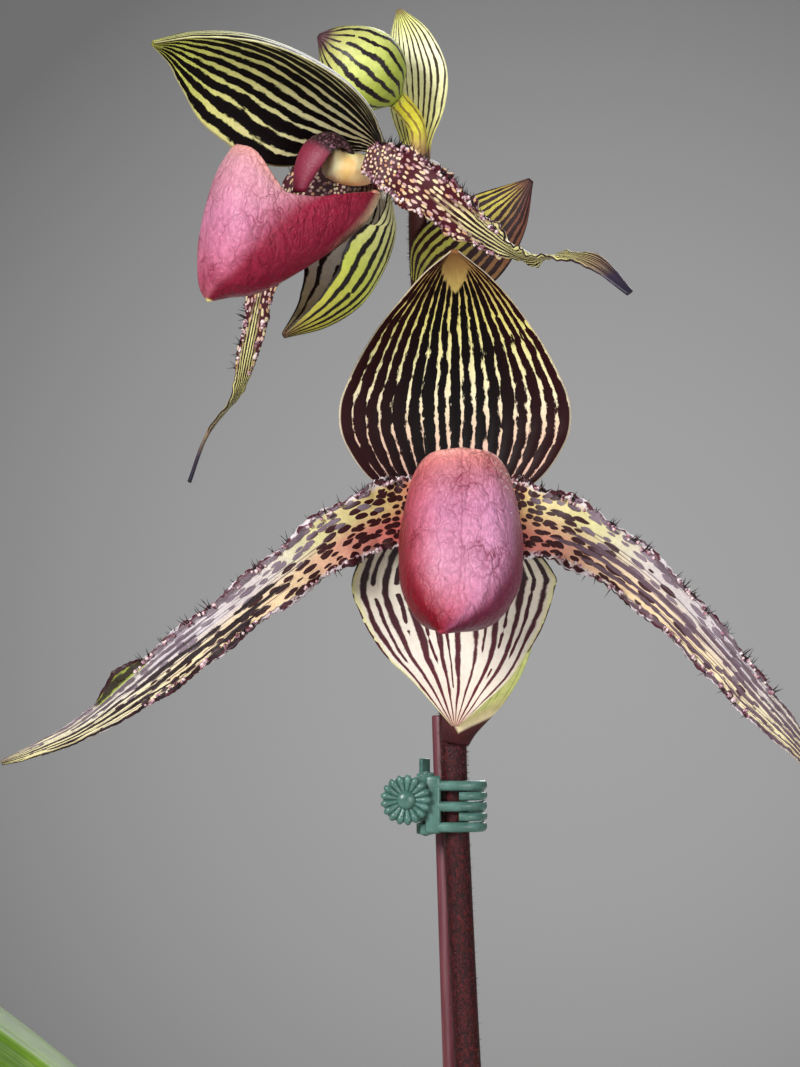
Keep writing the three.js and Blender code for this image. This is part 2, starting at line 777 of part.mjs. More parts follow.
function part(name, geometry, [color, roughness, metalness = 0], parent = orchid) {
  const material = new THREE.MeshStandardMaterial({ color, roughness, metalness });
  const mesh = new THREE.Mesh(geometry, material);
  mesh.name = name;
  parent.add(mesh);
  return mesh;
}

const looks = {
  clay: ['#b5623f', 0.85],
  bark: ['#6b4a32', 0.95],
  crown: ['#8fa85a', 0.6],
  leaf: ['#6f9440', 0.4],
  stem: ['#4a2226', 0.8],
  stake: ['#70393f', 0.45],
  clip: ['#6d9c90', 0.35],
  steel: ['#b9bcc0', 0.3, 1],
  ovary: ['#6e3a2e', 0.7],
  dorsal: ['#e3d7a4', 0.6],
  petal: ['#c9a07c', 0.6],
  pouch: ['#b4607f', 0.35],
  column: ['#6e2a30', 0.6],
  bract: ['#bcc46e', 0.6],
  bud: ['#a7b44c', 0.55],
};

part('pot', potShape(), looks.clay);
part('growing_medium', mediumShape(), looks.bark);
part('leaf_base', crownShape(), looks.crown);
leafRows.forEach((rows, i) => part(`leaf_${i + 1}`, leafShape(rows), looks.leaf));
part('flower_stem', stalk(stemRows, { sides: 8, steps: 36 }), looks.stem);
part('stake', stakeRod(stake.radius, 0, 0), looks.stake);

const clipGroup = new THREE.Group();
clipGroup.position.copy(clip.hinge);
orchid.add(clipGroup);
part('clip_front_jaw', frontJawShape(), looks.clip, clipGroup);
part('clip_back_jaw', backJawShape(), looks.clip, clipGroup);
part('clip_spring', springShape(), looks.steel, clipGroup);

function flower(name, { centre, turn, size }, rows) {
  const group = new THREE.Group();
  group.position.copy(centre);
  group.rotation.z = THREE.MathUtils.degToRad(turn);
  orchid.add(group);
  const across = new THREE.Vector3(1, 0, 0);
  const dorsalForm = { side: across, acrossSteps: 8, steps: 14, ...rows.hood };
  const dorsal = blade(scaleRows(rows.dorsal, size), dorsalForm);
  const synsepalForm = { side: across, cup: rows.keel, acrossSteps: 8, steps: 10 };
  const synsepal = blade(scaleRows(rows.synsepal, size), synsepalForm);
  part(`${name}_dorsal_sepal`, dorsal, looks.dorsal, group);
  part(`${name}_synsepal`, synsepal, looks.dorsal, group);
  part(`${name}_left_petal`, petalShape(rows.leftPetal, rows.seed), looks.petal, group);
  part(`${name}_right_petal`, petalShape(rows.rightPetal, rows.seed + 1), looks.petal, group);
  part(`${name}_pouch`, pouchShape(size, rows.slipper), looks.pouch, group);
  part(`${name}_column`, columnShape(size), looks.column, group);
}

flower('front_flower', frontFlower, {
  dorsal: frontDorsalRows,
  hood: { cup: 0.16 },
  synsepal: frontSynsepalRows,
  keel: -0.1,
  leftPetal: frontLeftPetalRows,
  rightPetal: frontRightPetalRows,
  slipper: { nod: 0, lean: -4.4, rim: frontRimHeights },
  seed: 21,
});

flower('side_flower', sideFlower, {
  dorsal: sideDorsalRows,
  hood: { cup: 0.6 },
  synsepal: sideSynsepalRows,
  keel: -1.3,
  leftPetal: sideFarPetalRows,
  rightPetal: sideNearPetalRows,
  slipper: { nod: 7.5, lean: 0, rim: sideRimHeights },
  seed: 31,
});

part('front_flower_ovary', stalk(frontOvaryRows, { sides: 8, steps: 12 }), looks.ovary);
part('side_flower_ovary', stalk(sideOvaryRows, { sides: 8, steps: 12 }), looks.ovary);
part('bud_ovary', stalk(budOvaryRows, { sides: 8, steps: 8 }), looks.ovary);
part('bud', stalk(budRows, { sides: 14, steps: 12 }), looks.bud);

const frontBract = bractShape(frontBractRows, new THREE.Vector3(1, 0, 0), -0.25);
const sideBract = bractShape(sideBractRows, new THREE.Vector3(0.55, 0, -0.83), -0.3);
const budBract = bractShape(budBractRows, new THREE.Vector3(0.9, -0.44, 0), -0.3);
part('front_flower_bract', frontBract, looks.bract);
part('side_flower_bract', sideBract, looks.bract);
part('bud_bract', budBract, looks.bract);

export default orchid;
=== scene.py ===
# %% [markdown]
# A potted slipper orchid in flower
#
# This notebook dresses the solid model of an orchid so that it looks alive: striped sepals,
# spotted petals with hairy edges, veined pouches, a downy stem, and a small plastic clip.
# Everything is in metres in the solid model's own frame, with the pot's flat base at zero
# height and the flowers facing along minus Y.

# %% Load the solid model
import math
import random

import bmesh
import bpy
from mathutils import Matrix, Quaternion, Vector


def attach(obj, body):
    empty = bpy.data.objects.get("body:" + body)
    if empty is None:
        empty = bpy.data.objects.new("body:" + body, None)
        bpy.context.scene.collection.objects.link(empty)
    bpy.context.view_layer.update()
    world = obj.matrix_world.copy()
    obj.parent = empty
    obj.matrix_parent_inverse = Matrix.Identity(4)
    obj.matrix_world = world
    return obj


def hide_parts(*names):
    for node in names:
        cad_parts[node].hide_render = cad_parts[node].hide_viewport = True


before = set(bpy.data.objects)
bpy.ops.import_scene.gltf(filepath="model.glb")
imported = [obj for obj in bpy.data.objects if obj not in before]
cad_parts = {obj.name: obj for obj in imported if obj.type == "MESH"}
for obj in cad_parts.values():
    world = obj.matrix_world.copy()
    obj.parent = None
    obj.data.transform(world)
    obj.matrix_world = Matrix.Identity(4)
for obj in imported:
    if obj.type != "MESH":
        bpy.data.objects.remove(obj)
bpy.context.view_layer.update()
print("solid model loaded with", len(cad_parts), "nodes")

# %% [markdown]
# Colours are written as the hex values that a screen shows. Blender's shaders work with
# linear light, so one function turns each into linear numbers.

# %% Turn hex colours into linear light
def tint(text):
    channels = [int(text[i:i + 2], 16) / 255 for i in (1, 3, 5)]
    return tuple(c / 12.92 if c <= 0.04045 else ((c + 0.055) / 1.055) ** 2.4 for c in channels) + (1,)


# %% [markdown]
# A material is a chain of nodes. One small function adds a node, fills its sockets and sets
# its options. It returns the output that the next node reads, so a chain reads from the
# inside out. Values fill the sockets in order, or by name where the name has a capital, and
# other names are options. A kind in capitals is a sum, such as MULTIPLY, and a text is a
# colour. Settings that are the same all over are put straight on the shader.

# %% Start a material and add its nodes
def node_adder(tree):
    def add(kind, *values, out=None, **named):
        node = tree.nodes.new("ShaderNode" + ("Math" if kind.isupper() else kind))
        if kind.isupper():
            node.operation = kind
        if kind == "Mix":
            node.data_type = "RGBA"
        for option in [name for name in named if name.islower()]:
            setattr(node, option, named.pop(option))
        usable = [socket for socket in node.inputs if socket.enabled]
        filled = list(zip(usable, values))
        filled += [(next(s for s in usable if s.name == name), value) for name, value in named.items()]
        for socket, value in filled:
            if isinstance(value, bpy.types.NodeSocket):
                tree.links.new(value, socket)
            elif value is not None:
                socket.default_value = tint(value) if isinstance(value, str) else value
        return next(s for s in node.outputs if s.enabled and out in (None, s.name))

    return add


def start_material(name, **constants):
    material = bpy.data.materials.new(name)
    material.use_nodes = True
    tree = material.node_tree
    shader = tree.nodes["Principled BSDF"]
    for socket, value in constants.items():
        shader.inputs[socket.replace("_", " ")].default_value = value

    def wear(color, bump=None):
        tree.links.new(color, shader.inputs["Base Color"])
        if bump:
            tree.links.new(bump, shader.inputs["Normal"])
        return material

    return node_adder(tree), wear


# %% [markdown]
# Leaves, sepals and petals are sheets that follow a curve. A few rows of numbers give the
# places, half widths and twists along each one, and a smooth curve is drawn through the
# rows. These are the solid model's own rows, so the finer sheets lie exactly on it.

# %% Follow a smooth curve through rows of numbers
def row_at(rows, t):
    last = len(rows) - 1
    place = min(max(t, 0.0), 1.0) * last
    i = min(int(place), last - 1)
    f = place - i
    values = []
    for k, (start, end) in enumerate(zip(rows[i], rows[i + 1])):
        before = rows[i - 1][k] if i > 0 else 2 * start - end
        after = rows[i + 2][k] if i < last - 1 else 2 * end - start
        slope_in = (end - before) / 2
        slope_out = (after - start) / 2
        bend = 3 * (end - start) - 2 * slope_in - slope_out
        values.append(start + f * (slope_in + f * (bend + f * (slope_in + slope_out - 2 * (end - start)))))
    return values


def frame_at(rows, t, side):
    row = row_at(rows, t)
    step = 0.004
    ahead = Vector(row_at(rows, min(t + step, 1))[:3])
    along = (ahead - Vector(row_at(rows, max(t - step, 0))[:3])).normalized()
    across = (side - along * side.dot(along)).normalized()
    across.rotate(Quaternion(along, math.radians(row[4] if len(row) > 4 else 0)))
    return Vector(row[:3]), along, across, across.cross(along), row[3]


def length_along(rows, steps=60):
    places = [Vector(row_at(rows, i / steps)[:3]) for i in range(steps + 1)]
    return sum((b - a).length for a, b in zip(places, places[1:]))


# %% [markdown]
# Each sheet starts as a flat grid that is moved onto its curve. Two UV maps are kept: one
# with the share of the way across and along, for veins that follow the sheet, and one in
# millimetres, for spots that keep their real size.

# %% Make a sheet from a grid
def flat_grid(columns, steps):
    bm = bmesh.new()
    bmesh.ops.create_grid(bm, x_segments=columns, y_segments=steps, size=0.5)
    bm.verts.index_update()
    return bm


def name_places(bm, places):
    share = bm.loops.layers.uv.new("share")
    flat = bm.loops.layers.uv.new("flat")
    for face in bm.faces:
        for loop in face.loops:
            u, v, x, y = places[loop.vert.index]
            loop[share].uv = (u, v)
            loop[flat].uv = (x, y)


def sheet(rows, side, columns, steps, cup=0, wave=0, waves=0, ruffle=0, rib=0, ribs=0, crinkle=0, extra=None):
    bm = flat_grid(columns, steps)
    length = length_along(rows)
    rings = {}
    places = {}
    for vert in bm.verts:
        u, v = vert.co.x + 0.5, vert.co.y + 0.5
        key = round(v * steps)
        if key not in rings:
            rings[key] = frame_at(rows, v, side)
        here, along, across, front, width = rings[key]
        width = max(width, 0.5)
        sideways = 2 * u - 1
        phase = 2 * math.pi * waves * v + (0 if sideways > 0 else 1.9)
        margin = abs(sideways) ** 2.5
        fade = min(1, 4 * v) * min(1, 1.4 * (1 - v))
        opening = min(1, 0.15 + 3 * v)
        lift = cup * opening * width * sideways ** 2 + wave * margin * fade * math.sin(phase)
        lift += rib * fade * math.cos(math.pi * ribs * sideways)
        reach = width * sideways * (1 + ruffle * margin * fade * math.sin(phase + 1.2))
        tight = math.sin(2 * math.pi * 34 * v + 2.5 * math.sin(29 * v) + (0 if sideways > 0 else 2.2))
        reach += math.copysign(crinkle * margin * fade * tight, sideways)
        lift += crinkle * margin * fade * math.sin(2 * math.pi * 27 * v + 2 * sideways)
        if extra:
            more_reach, more_lift = extra(sideways, v)
            reach += more_reach
            lift += more_lift
        vert.co = here + across * reach + front * lift
        places[vert.index] = (u, v, width * sideways, length * v)
    name_places(bm, places)
    body = bm.verts.layers.deform.verify()
    for vert in bm.verts:
        sideways = 2 * places[vert.index][0] - 1
        vert[body][0] = 1 - 0.7 * abs(sideways) ** 8
    bm.normal_update()
    return bm


# %% [markdown]
# A sheet gets its thickness from a Solidify modifier with an offset of zero, so that it
# grows to both sides alike. The far side takes the next material, because the back of a
# sepal is not the colour of its face. The result is read back, so that hairs can be added.

# %% Give a sheet its thickness
PETAL_MM, BRACT_MM, LEAF_MM, SHIELD_MM = 0.8, 0.7, 1.5, 1.6


def thicken(bm, thickness, far_slot=0):
    bm_layers = bool(bm.verts.layers.deform)
    mesh = bpy.data.meshes.new("thin")
    for _ in range(2):
        mesh.materials.append(None)
    bm.to_mesh(mesh)
    bm.free()
    helper = bpy.data.objects.new("thin", mesh)
    bpy.context.collection.objects.link(helper)
    solidify = helper.modifiers.new("thickness", "SOLIDIFY")
    solidify.thickness = thickness
    solidify.offset = 0
    solidify.material_offset = far_slot
    helper.vertex_groups.new(name="body")
    if bm_layers:
        solidify.vertex_group = "body"
    bpy.context.view_layer.update()
    ready = helper.evaluated_get(bpy.context.evaluated_depsgraph_get())
    thick = bmesh.new()
    thick.from_mesh(ready.to_mesh())
    ready.to_mesh_clear()
    bpy.data.objects.remove(helper)
    bpy.data.meshes.remove(mesh)
    return thick


# %% [markdown]
# Round stalks are grids too. One side of the grid is wrapped round the curve until its two
# edges meet, and the first and last rows shrink to a point, which closes the ends.

# %% Make a round stalk
def stalk(rows, columns, steps, side=Vector((1, 0, 0)), flat=1, relief=None):
    bm = flat_grid(columns, steps + 2)
    length = length_along(rows)
    rings = {}
    places = {}
    for vert in bm.verts:
        u, v = vert.co.x + 0.5, vert.co.y + 0.5
        key = round(v * (steps + 2))
        t = min(max(key - 1, 0), steps) / steps
        if key not in rings:
            rings[key] = frame_at(rows, t, side)
        here, along, across, front, radius = rings[key]
        places[vert.index] = (u, t, radius * 2 * math.pi * u, length * t)
        if key in (0, steps + 2):
            radius = 0
        elif relief:
            radius += relief(u, t)
        turn = 2 * math.pi * u
        vert.co = here + across * radius * math.cos(turn) + front * flat * radius * math.sin(turn)
    name_places(bm, places)
    bmesh.ops.remove_doubles(bm, verts=bm.verts, dist=1e-4)
    bmesh.ops.recalc_face_normals(bm, faces=bm.faces)
    return bm


# %% [markdown]
# Hairs are thin three sided cones, and warts are small balls. They are made a few hundred
# at a time in a mesh of their own and then added, because every operator gets slower as
# its mesh grows.

# %% Add hairs and warts to a piece
def take_in(whole, part):
    mesh = bpy.data.meshes.new("part")
    part.to_mesh(mesh)
    part.free()
    whole.from_mesh(mesh)
    bpy.data.meshes.remove(mesh)


def add_in_batches(bm, jobs, slot, batch=300):
    for start in range(0, len(jobs), batch):
        part = bmesh.new()
        for make in jobs[start:start + batch]:
            make(part)
        for face in part.faces:
            face.material_index = slot
            face.smooth = True
        take_in(bm, part)


def hair(root, tip, radius, sides=3):
    axis = tip - root
    matrix = Matrix.Translation((root + tip) / 2) @ axis.to_track_quat("Z", "Y").to_matrix().to_4x4()
    return lambda part: bmesh.ops.create_cone(
        part, cap_ends=True, segments=sides, radius1=radius, radius2=0, depth=axis.length, matrix=matrix)


def wart(place, radius, stretch=(1, 1, 1)):
    matrix = Matrix.Translation(place) @ Matrix.Diagonal((*stretch, 1))
    return lambda part: bmesh.ops.create_icosphere(part, subdivisions=1, radius=radius, matrix=matrix)


# %% [markdown]
# A finished piece is scaled from millimetres to metres, gets its materials, rides on a body
# of the solid model, and hides the solid that it stands for.

# %% Turn a bmesh into a finished piece
def finish_piece(name, bm, materials, nodes, body="plant", place=Matrix.Identity(4), sharp=None):
    bmesh.ops.transform(bm, matrix=Matrix.Scale(0.001, 4) @ place, verts=bm.verts)
    mesh = bpy.data.meshes.new(name)
    bm.to_mesh(mesh)
    bm.free()
    for material in materials:
        mesh.materials.append(material)
    mesh.shade_smooth()
    if sharp:
        mesh.set_sharp_from_angle(angle=math.radians(sharp))
    piece = bpy.data.objects.new(name, mesh)
    bpy.context.collection.objects.link(piece)
    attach(piece, body)
    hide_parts(*nodes)
    print(name, len(mesh.polygons), "faces")
    return piece


# %% [markdown]
# Dark veins are the orchid's main drawing. Each vein has its own number, and that number
# draws its width, where it starts and where it ends. Noise along the vein makes its edges
# ragged, as the pigment is in the real sepal.

# %% Draw veins that follow a sheet
def veins(add, count, width, ragged=0.25, ends=(-1, 2), spread=0.1, seed=0, breaks=0.0, soft=0.05, wider=0.0):
    share = add("SeparateXYZ", add("UVMap", uv_map="share"))
    node = share.node
    u, v = node.outputs["X"], node.outputs["Y"]
    middle = add("SUBTRACT", u, 0.5)
    sway = add("TexNoise", Vector=add("CombineXYZ", u, v, float(seed)), Scale=4.0, Detail=1.0)
    drift = add("MapRange", sway, 0.0, 1.0, -0.35, 0.35)
    line = add("MULTIPLY_ADD", middle, float(count), drift)
    number = add("ROUND", line)
    aside = add("ABSOLUTE", add("SUBTRACT", line, number))
    keyed = add("ADD", number, seed + 0.37)
    draws = add("SeparateColor", add("TexWhiteNoise", W=keyed, out="Color", noise_dimensions="1D"))
    draw = draws.node.outputs
    half = add("MapRange", draw["Red"], None, None, width * 0.75, width * 1.25)
    strip = add("CombineXYZ", add("MULTIPLY", line, 1.7), add("MULTIPLY", v, 15.0), seed + 3.0)
    rough = add("TexNoise", Vector=strip, Scale=1.0, Detail=3.0, Roughness=0.65)
    edge = add("MapRange", rough, 0.3, 0.7, -ragged, ragged)
    signal = add("SUBTRACT", add("ADD", half, edge), aside)
    if wider:
        outer = add("MULTIPLY", add("ABSOLUTE", middle), 2.0)
        lower = add("MapRange", v, 0.75, 0.15, 0.0, wider)
        signal = add("MULTIPLY_ADD", outer, lower, signal)
    first = add("MapRange", draw["Green"], None, None, ends[0] - spread, ends[0] + spread)
    last = add("MapRange", draw["Blue"], None, None, ends[1] - spread, ends[1] + spread)
    early = add("SUBTRACT", first, v)
    late = add("SUBTRACT", v, last)
    beyond = add("MAXIMUM", add("MAXIMUM", early, late), 0.0)
    signal = add("MULTIPLY_ADD", beyond, -9.0, signal)
    if breaks:
        own = add("CombineXYZ", add("MULTIPLY", keyed, 7.3), add("MULTIPLY", v, 11.0), 0.0)
        gap = add("TexNoise", Vector=own, Scale=1.0, Detail=1.0)
        lost = add("MapRange", gap, breaks - 0.12, breaks, -0.7, 0.0)
        signal = add("ADD", signal, lost)
    mask = add("MapRange", signal, -soft, soft, interpolation_type="SMOOTHSTEP")
    return mask, u, v


# %% [markdown]
# Colours that change from the base of a sheet to its tip come from a ramp: a list of
# stops, each with its place along the sheet and its colour.

# %% Fade from colour to colour
def fade(add, place, stops):
    ramp = add("ValToRGB", place)
    marks = ramp.node.color_ramp.elements
    while len(marks) < len(stops):
        marks.new(0.5)
    for mark, (where, text) in zip(marks, stops):
        mark.position = where
        mark.color = tint(text)
    return ramp


def spread_out(add, u):
    return add("ABSOLUTE", add("SUBTRACT", u, 0.5))


# %% [markdown]
# Living tissue is never one even colour. A fine mottle lightens and darkens each surface,
# and its height also feeds a small bump that breaks up the highlights.

# %% Mottle and bump a surface
def mottle(add, color, amount=0.12, grain_mm=1.2, seed=0.0):
    place = add("Mapping", add("TexCoord", out="Object"), Location=(seed, seed, seed), Scale=(1000 / grain_mm,) * 3)
    noise = add("TexNoise", Vector=place, Scale=1.0, Detail=4.0, Roughness=0.6)
    value = add("MapRange", noise, 0.3, 0.7, 1 - amount, 1 + amount)
    return add("HueSaturation", Color=color, Value=value), noise


def bump(add, height, depth_mm, strength=0.5, below=None):
    return add("Bump", Strength=strength, Distance=depth_mm / 1000, Height=height, Normal=below)


def speckled(name, noise, stops, depth=None, cell_mm=None, **shine):
    add, wear = start_material(name, **shine)
    place = add("TexCoord", out="Object")
    if cell_mm:
        place = add("Mapping", place, Scale=tuple(1000 / side for side in cell_mm))
    shade = add("TexNoise", Vector=place, **noise)
    return wear(fade(add, shade, stops), bump(add, shade, *depth) if depth else None)


def veined(name, drawn, stops, ink, mottling, grain_bump=(0.2, 0.5), vein_bump=(0.12, 0.4), rise=0.0,
           Roughness=0.45, Specular_IOR_Level=0.35):
    add, wear = start_material(name, Roughness=Roughness, Specular_IOR_Level=Specular_IOR_Level)
    mask, u, v = veins(add, *drawn)
    place = add("MULTIPLY_ADD", spread_out(add, u), rise, v) if rise else v
    color, grain = mottle(add, add("Mix", mask, fade(add, place, stops), ink), *mottling)
    below = bump(add, mask, *vein_bump) if vein_bump else None
    return wear(color, bump(add, grain, *grain_bump, below))


# %% [markdown]
# The upper sepal of this orchid is its flag. Its face is striped almost black on cream and
# yellow, its tip is plain old gold, and a thin pale line runs round its edge.

# %% Striped face of the front flower's upper sepal
def dorsal_face():
    add, wear = start_material("sepal_striped", Roughness=0.55, Specular_IOR_Level=0.12)
    mask, u, v = veins(add, 17, 0.37, 0.2, (-1, 0.93), 0.06, 4, 0.28, wider=0.12)
    ground = fade(add, v, [(0.0, "#c08a84"), (0.28, "#d9b8a0"), (0.4, "#e4d6b4"), (0.55, "#e0d79c"),
                           (0.68, "#dcd078"), (0.8, "#c4a860"), (0.9, "#a07c48"), (1.0, "#7c5230")])
    out = spread_out(add, u)
    ragged = add("TexNoise", Vector=add("CombineXYZ", u, v, 5.0), Scale=14.0, Detail=2.0)
    reach = add("MapRange", v, 0.72, 0.93, -0.2, 0.2)
    reach = add("MULTIPLY_ADD", ragged, 0.09, reach)
    bare = add("MapRange", add("SUBTRACT", out, reach), 0.03, 0.06)
    mask = add("MULTIPLY", mask, bare)
    edge = add("MapRange", out, 0.491, 0.495)
    mask = add("SUBTRACT", mask, edge, use_clamp=True)
    ink = add("Mix", add("MapRange", out, 0.15, 0.5), "#080203", "#260509")
    ground = add("Mix", edge, ground, "#bcae98")
    color = add("Mix", mask, ground, ink)
    color, grain = mottle(add, color, 0.1, 1.5)
    ridge = bump(add, mask, 0.25, 0.5)
    return wear(color, bump(add, grain, 0.15, 0.4, ridge))


striped_face = dorsal_face()
striped_back = veined("sepal_back", (19, 0.26, 0.14, (-1, 0.97), 0.03, 9, 0.27), [
    (0.0, "#d9cfc4"), (0.45, "#efeae2"), (0.75, "#d9d9a4"), (1.0, "#9a9a4c")], "#1a0b0e", (0.1, 1.5),
    vein_bump=None, Roughness=0.5, Specular_IOR_Level=0.3)

# %% [markdown]
# The flower sits on its ovary, turned and moved to its place. A matrix holds that move, and
# the flower's pieces are all made in the flower's own frame first.

# %% Place the two flowers
def flower_place(centre, turn):
    return Matrix.Translation(Vector(centre)) @ Matrix.Rotation(math.radians(turn), 4, "Z")


front_place = flower_place((-2, -20, 371), 0)
side_place = flower_place((-20.8, -28, 441.5), -63.9)
side_size = 0.85
ACROSS = Vector((1, 0, 0))


def scaled(rows, size=side_size):
    return [[value * size if k < 4 else value for k, value in enumerate(row)] for row in rows]


# %% Upper sepal of the front flower
def sepal_piece(node, rows, skins, place, columns, steps, cup, rib, ribs, far_slot=1):
    bm = sheet(rows, ACROSS, columns, steps, cup=cup, rib=rib, ribs=ribs)
    finish_piece(node + "_skin", thicken(bm, PETAL_MM, far_slot), skins, [node], place=place)


front_dorsal_rows = [
    [-1, 2.6, 0.6, 6], [-1, 3.1, 6, 17.6], [-1, 4.5, 14, 23.6], [-1, 4.5, 22, 24.8], [-1, 3, 30, 22.3],
    [-1, -0.5, 38, 18], [-1, -5.5, 45, 12.6], [-1.2, -11.5, 50.5, 7], [-1.3, -17, 54.6, 0.8]]

sepal_piece("front_flower_dorsal_sepal", front_dorsal_rows, [striped_face, striped_back], front_place, 68, 96,
            0.16, 0.12, 17)

# %% [markdown]
# The two lower sepals are grown together into one, the synsepal. Its face is ivory with
# narrow plum veins. Every second vein stops early and some break into dots.

# %% Lower sepal of the front flower
def synsepal_face():
    add, wear = start_material("synsepal_ivory", Roughness=0.5, Specular_IOR_Level=0.3)
    long_veins, u, v = veins(add, 9, 0.15, 0.05, (-1, 2), 0.1, 2)
    short_veins, u, v = veins(add, 18, 0.17, 0.08, (-1, 0.6), 0.22, 7, 0.4)
    mask = add("MAXIMUM", long_veins, short_veins)
    out = spread_out(add, u)
    ground = fade(add, v, [(0.0, "#c8beaa"), (0.35, "#d2c8b8"), (0.65, "#dcd2c6"), (0.9, "#d6c8b8"), (1.0, "#b89078")])
    rim = add("MapRange", out, 0.46, 0.5)
    ground = add("Mix", rim, ground, "#cdc98a")
    ink = add("Mix", add("MapRange", v, 0.3, 0.95), "#2a1118", "#5a0f22")
    color = add("Mix", mask, ground, ink)
    color, grain = mottle(add, color, 0.06, 1.2)
    return wear(color, bump(add, grain, 0.15, 0.5, bump(add, mask, 0.15, 0.5)))


synsepal_skin = synsepal_face()
front_synsepal_rows = [
    [-0.4, 2.6, -0.6, 6], [-1, 2.7, -7, 17], [-1.2, 4.6, -14, 21.8], [-0.9, 5.4, -20, 20.8], [-0.5, 6, -27, 17.8],
    [-0.2, 6.6, -34, 12.8], [-0.5, 7.2, -40.5, 6.6], [-0.9, 7.6, -46.5, 0.8]]

sepal_piece("front_flower_synsepal", front_synsepal_rows, [synsepal_skin, striped_back], front_place, 64, 84,
            -0.1, 0.1, 16, far_slot=0)

# %% [markdown]
# The petals are long ribbons. Near the pouch they are salmon with round chestnut spots.
# Further out the spots stretch, turn grey mauve and run together into lines. The spots are
# cells of a Voronoi texture in millimetres, and the cells get longer along the petal.

# %% Spotted skin of the front flower's petals
def petal_face(name, upper, dark, seed, flap=False):
    add, wear = start_material(name, Roughness=0.5, Specular_IOR_Level=0.35)
    lines, u, v = veins(add, 7, 0.29, 0.22, (0.42, 2), 0.14, seed, 0.37)
    fine_lines, u, v = veins(add, 17, 0.16, 0.14, (0.42, 2), 0.12, seed + 3, 0.42)
    flat = add("SeparateXYZ", add("UVMap", uv_map="flat")).node.outputs
    # Cells are 1.3 mm wide. They are as long at the base, and get three times as long.
    drawn = add("MULTIPLY_ADD", flat["Y"], 0.03, 1.0)
    along = add("MULTIPLY", add("LOGARITHM", drawn, math.e), 25.6)
    cells = add("CombineXYZ", add("DIVIDE", flat["X"], 1.3), along, float(seed))
    warp = add("TexNoise", Vector=cells, Scale=0.9, Detail=2.0, out="Color")
    moved = add("VectorMath", warp, (0.5, 0.5, 0.5), operation="SUBTRACT")
    moved = add("VectorMath", moved, Scale=0.55, operation="SCALE")
    cells = add("VectorMath", cells, moved, operation="ADD")
    far = add("TexVoronoi", Vector=cells, Scale=1.0, Randomness=0.75, voronoi_dimensions="2D")
    kind = add("SeparateColor", far.node.outputs["Color"]).node.outputs
    size = add("MapRange", kind["Red"], None, None, 0.26, 0.56)
    size = add("ADD", size, add("MapRange", v, 0.1, 0.9, 0.13, -0.4))
    spots = add("MapRange", add("SUBTRACT", size, far), -0.035, 0.035, interpolation_type="SMOOTHSTEP")
    out = spread_out(add, u)
    # The upper half of a petal is yellow, then pale lilac, and the lower half peach.
    high = add("MULTIPLY", add("SUBTRACT", u, 0.5), upper)
    lower = fade(add, v, [(0.0, "#8c2c34"), (0.12, "#b03c3e"), (0.22, "#c05c58"), (0.31, "#cc8c78"), (0.4, "#dabc94"),
                          (0.7, "#dccfa6"), (0.93, "#d3ca90"), (1.0, "#8c7c4c")])
    over = fade(add, v, [(0.0, "#8c2c34"), (0.1, "#b4483e"), (0.17, "#c4705c"), (0.23, "#cfb478"), (0.34, "#cfc890"),
                         (0.43, "#c0b6b2"), (0.6, "#b6acb2"), (0.76, "#cac2b0"), (0.93, "#d3ca90"), (1.0, "#8c7c4c")])
    ground = add("Mix", add("MapRange", high, -0.12, 0.12), lower, over)
    pale = add("MapRange", out, 0.38, 0.45)
    pale = add("MULTIPLY", pale, add("MapRange", v, 0.04, 0.2))
    pale = add("MULTIPLY", pale, add("MapRange", v, 0.95, 0.75))
    ground = add("Mix", pale, ground, "#cdc2c6")
    # Spots on the upper half turn grey mauve, from a quarter of the way along.
    grey = add("MULTIPLY", add("SUBTRACT", v, 0.4), 1.4)
    grey = add("MULTIPLY_ADD", kind["Green"], 0.7, grey)
    tilt = add("MULTIPLY", high, add("MapRange", v, 0.15, 0.42, 0.0, 2.4))
    grey = add("MapRange", add("ADD", grey, tilt), 0.46, 0.62)
    ink = add("Mix", grey, "#300409", "#75646f")
    color = add("Mix", spots, ground, ink)
    deep = add("Mix", add("MapRange", high, 0.05, 0.3), dark, "#64545c")
    thin = add("MULTIPLY", fine_lines, 0.75)
    color = add("Mix", thin, color, "#54424e")
    color = add("Mix", lines, color, deep)
    fringe = add("TexNoise", Vector=cells, Scale=1.9, Detail=2.0)
    fringe = add("MULTIPLY", add("MapRange", fringe, 0.51, 0.56), add("MapRange", out, 0.43, 0.455))
    fringe = add("MULTIPLY", fringe, add("MapRange", v, 0.85, 0.7))
    color = add("Mix", fringe, color, "#4a1724")
    if flap:
        here = add("ABSOLUTE", add("SUBTRACT", v, 0.7))
        here = add("MapRange", here, 0.062, 0.05)
        green = add("MULTIPLY", here, add("MapRange", u, 0.8, 0.84))
        inside = add("Mix", lines, "#8c9838", "#2c2414")
        color = add("Mix", green, color, inside)
        rim = add("MULTIPLY", here, add("MapRange", u, 0.95, 0.965))
        color = add("Mix", rim, color, "#2c0a12")
    color, grain = mottle(add, color, 0.1, 1.0)
    warts = bump(add, spots, 0.3, 0.6)
    return wear(color, bump(add, grain, 0.15, 0.5, warts))


left_petal_skin = petal_face("petal_spotted_left", 1.0, "#1c070b", 5, flap=True)
right_petal_skin = petal_face("petal_spotted_right", -0.6, "#5a444e", 8)

# %% [markdown]
# Dark tufts of stiff hairs and small pale warts stand on both edges of each petal. A tuft
# has two to four hairs about two millimetres long.

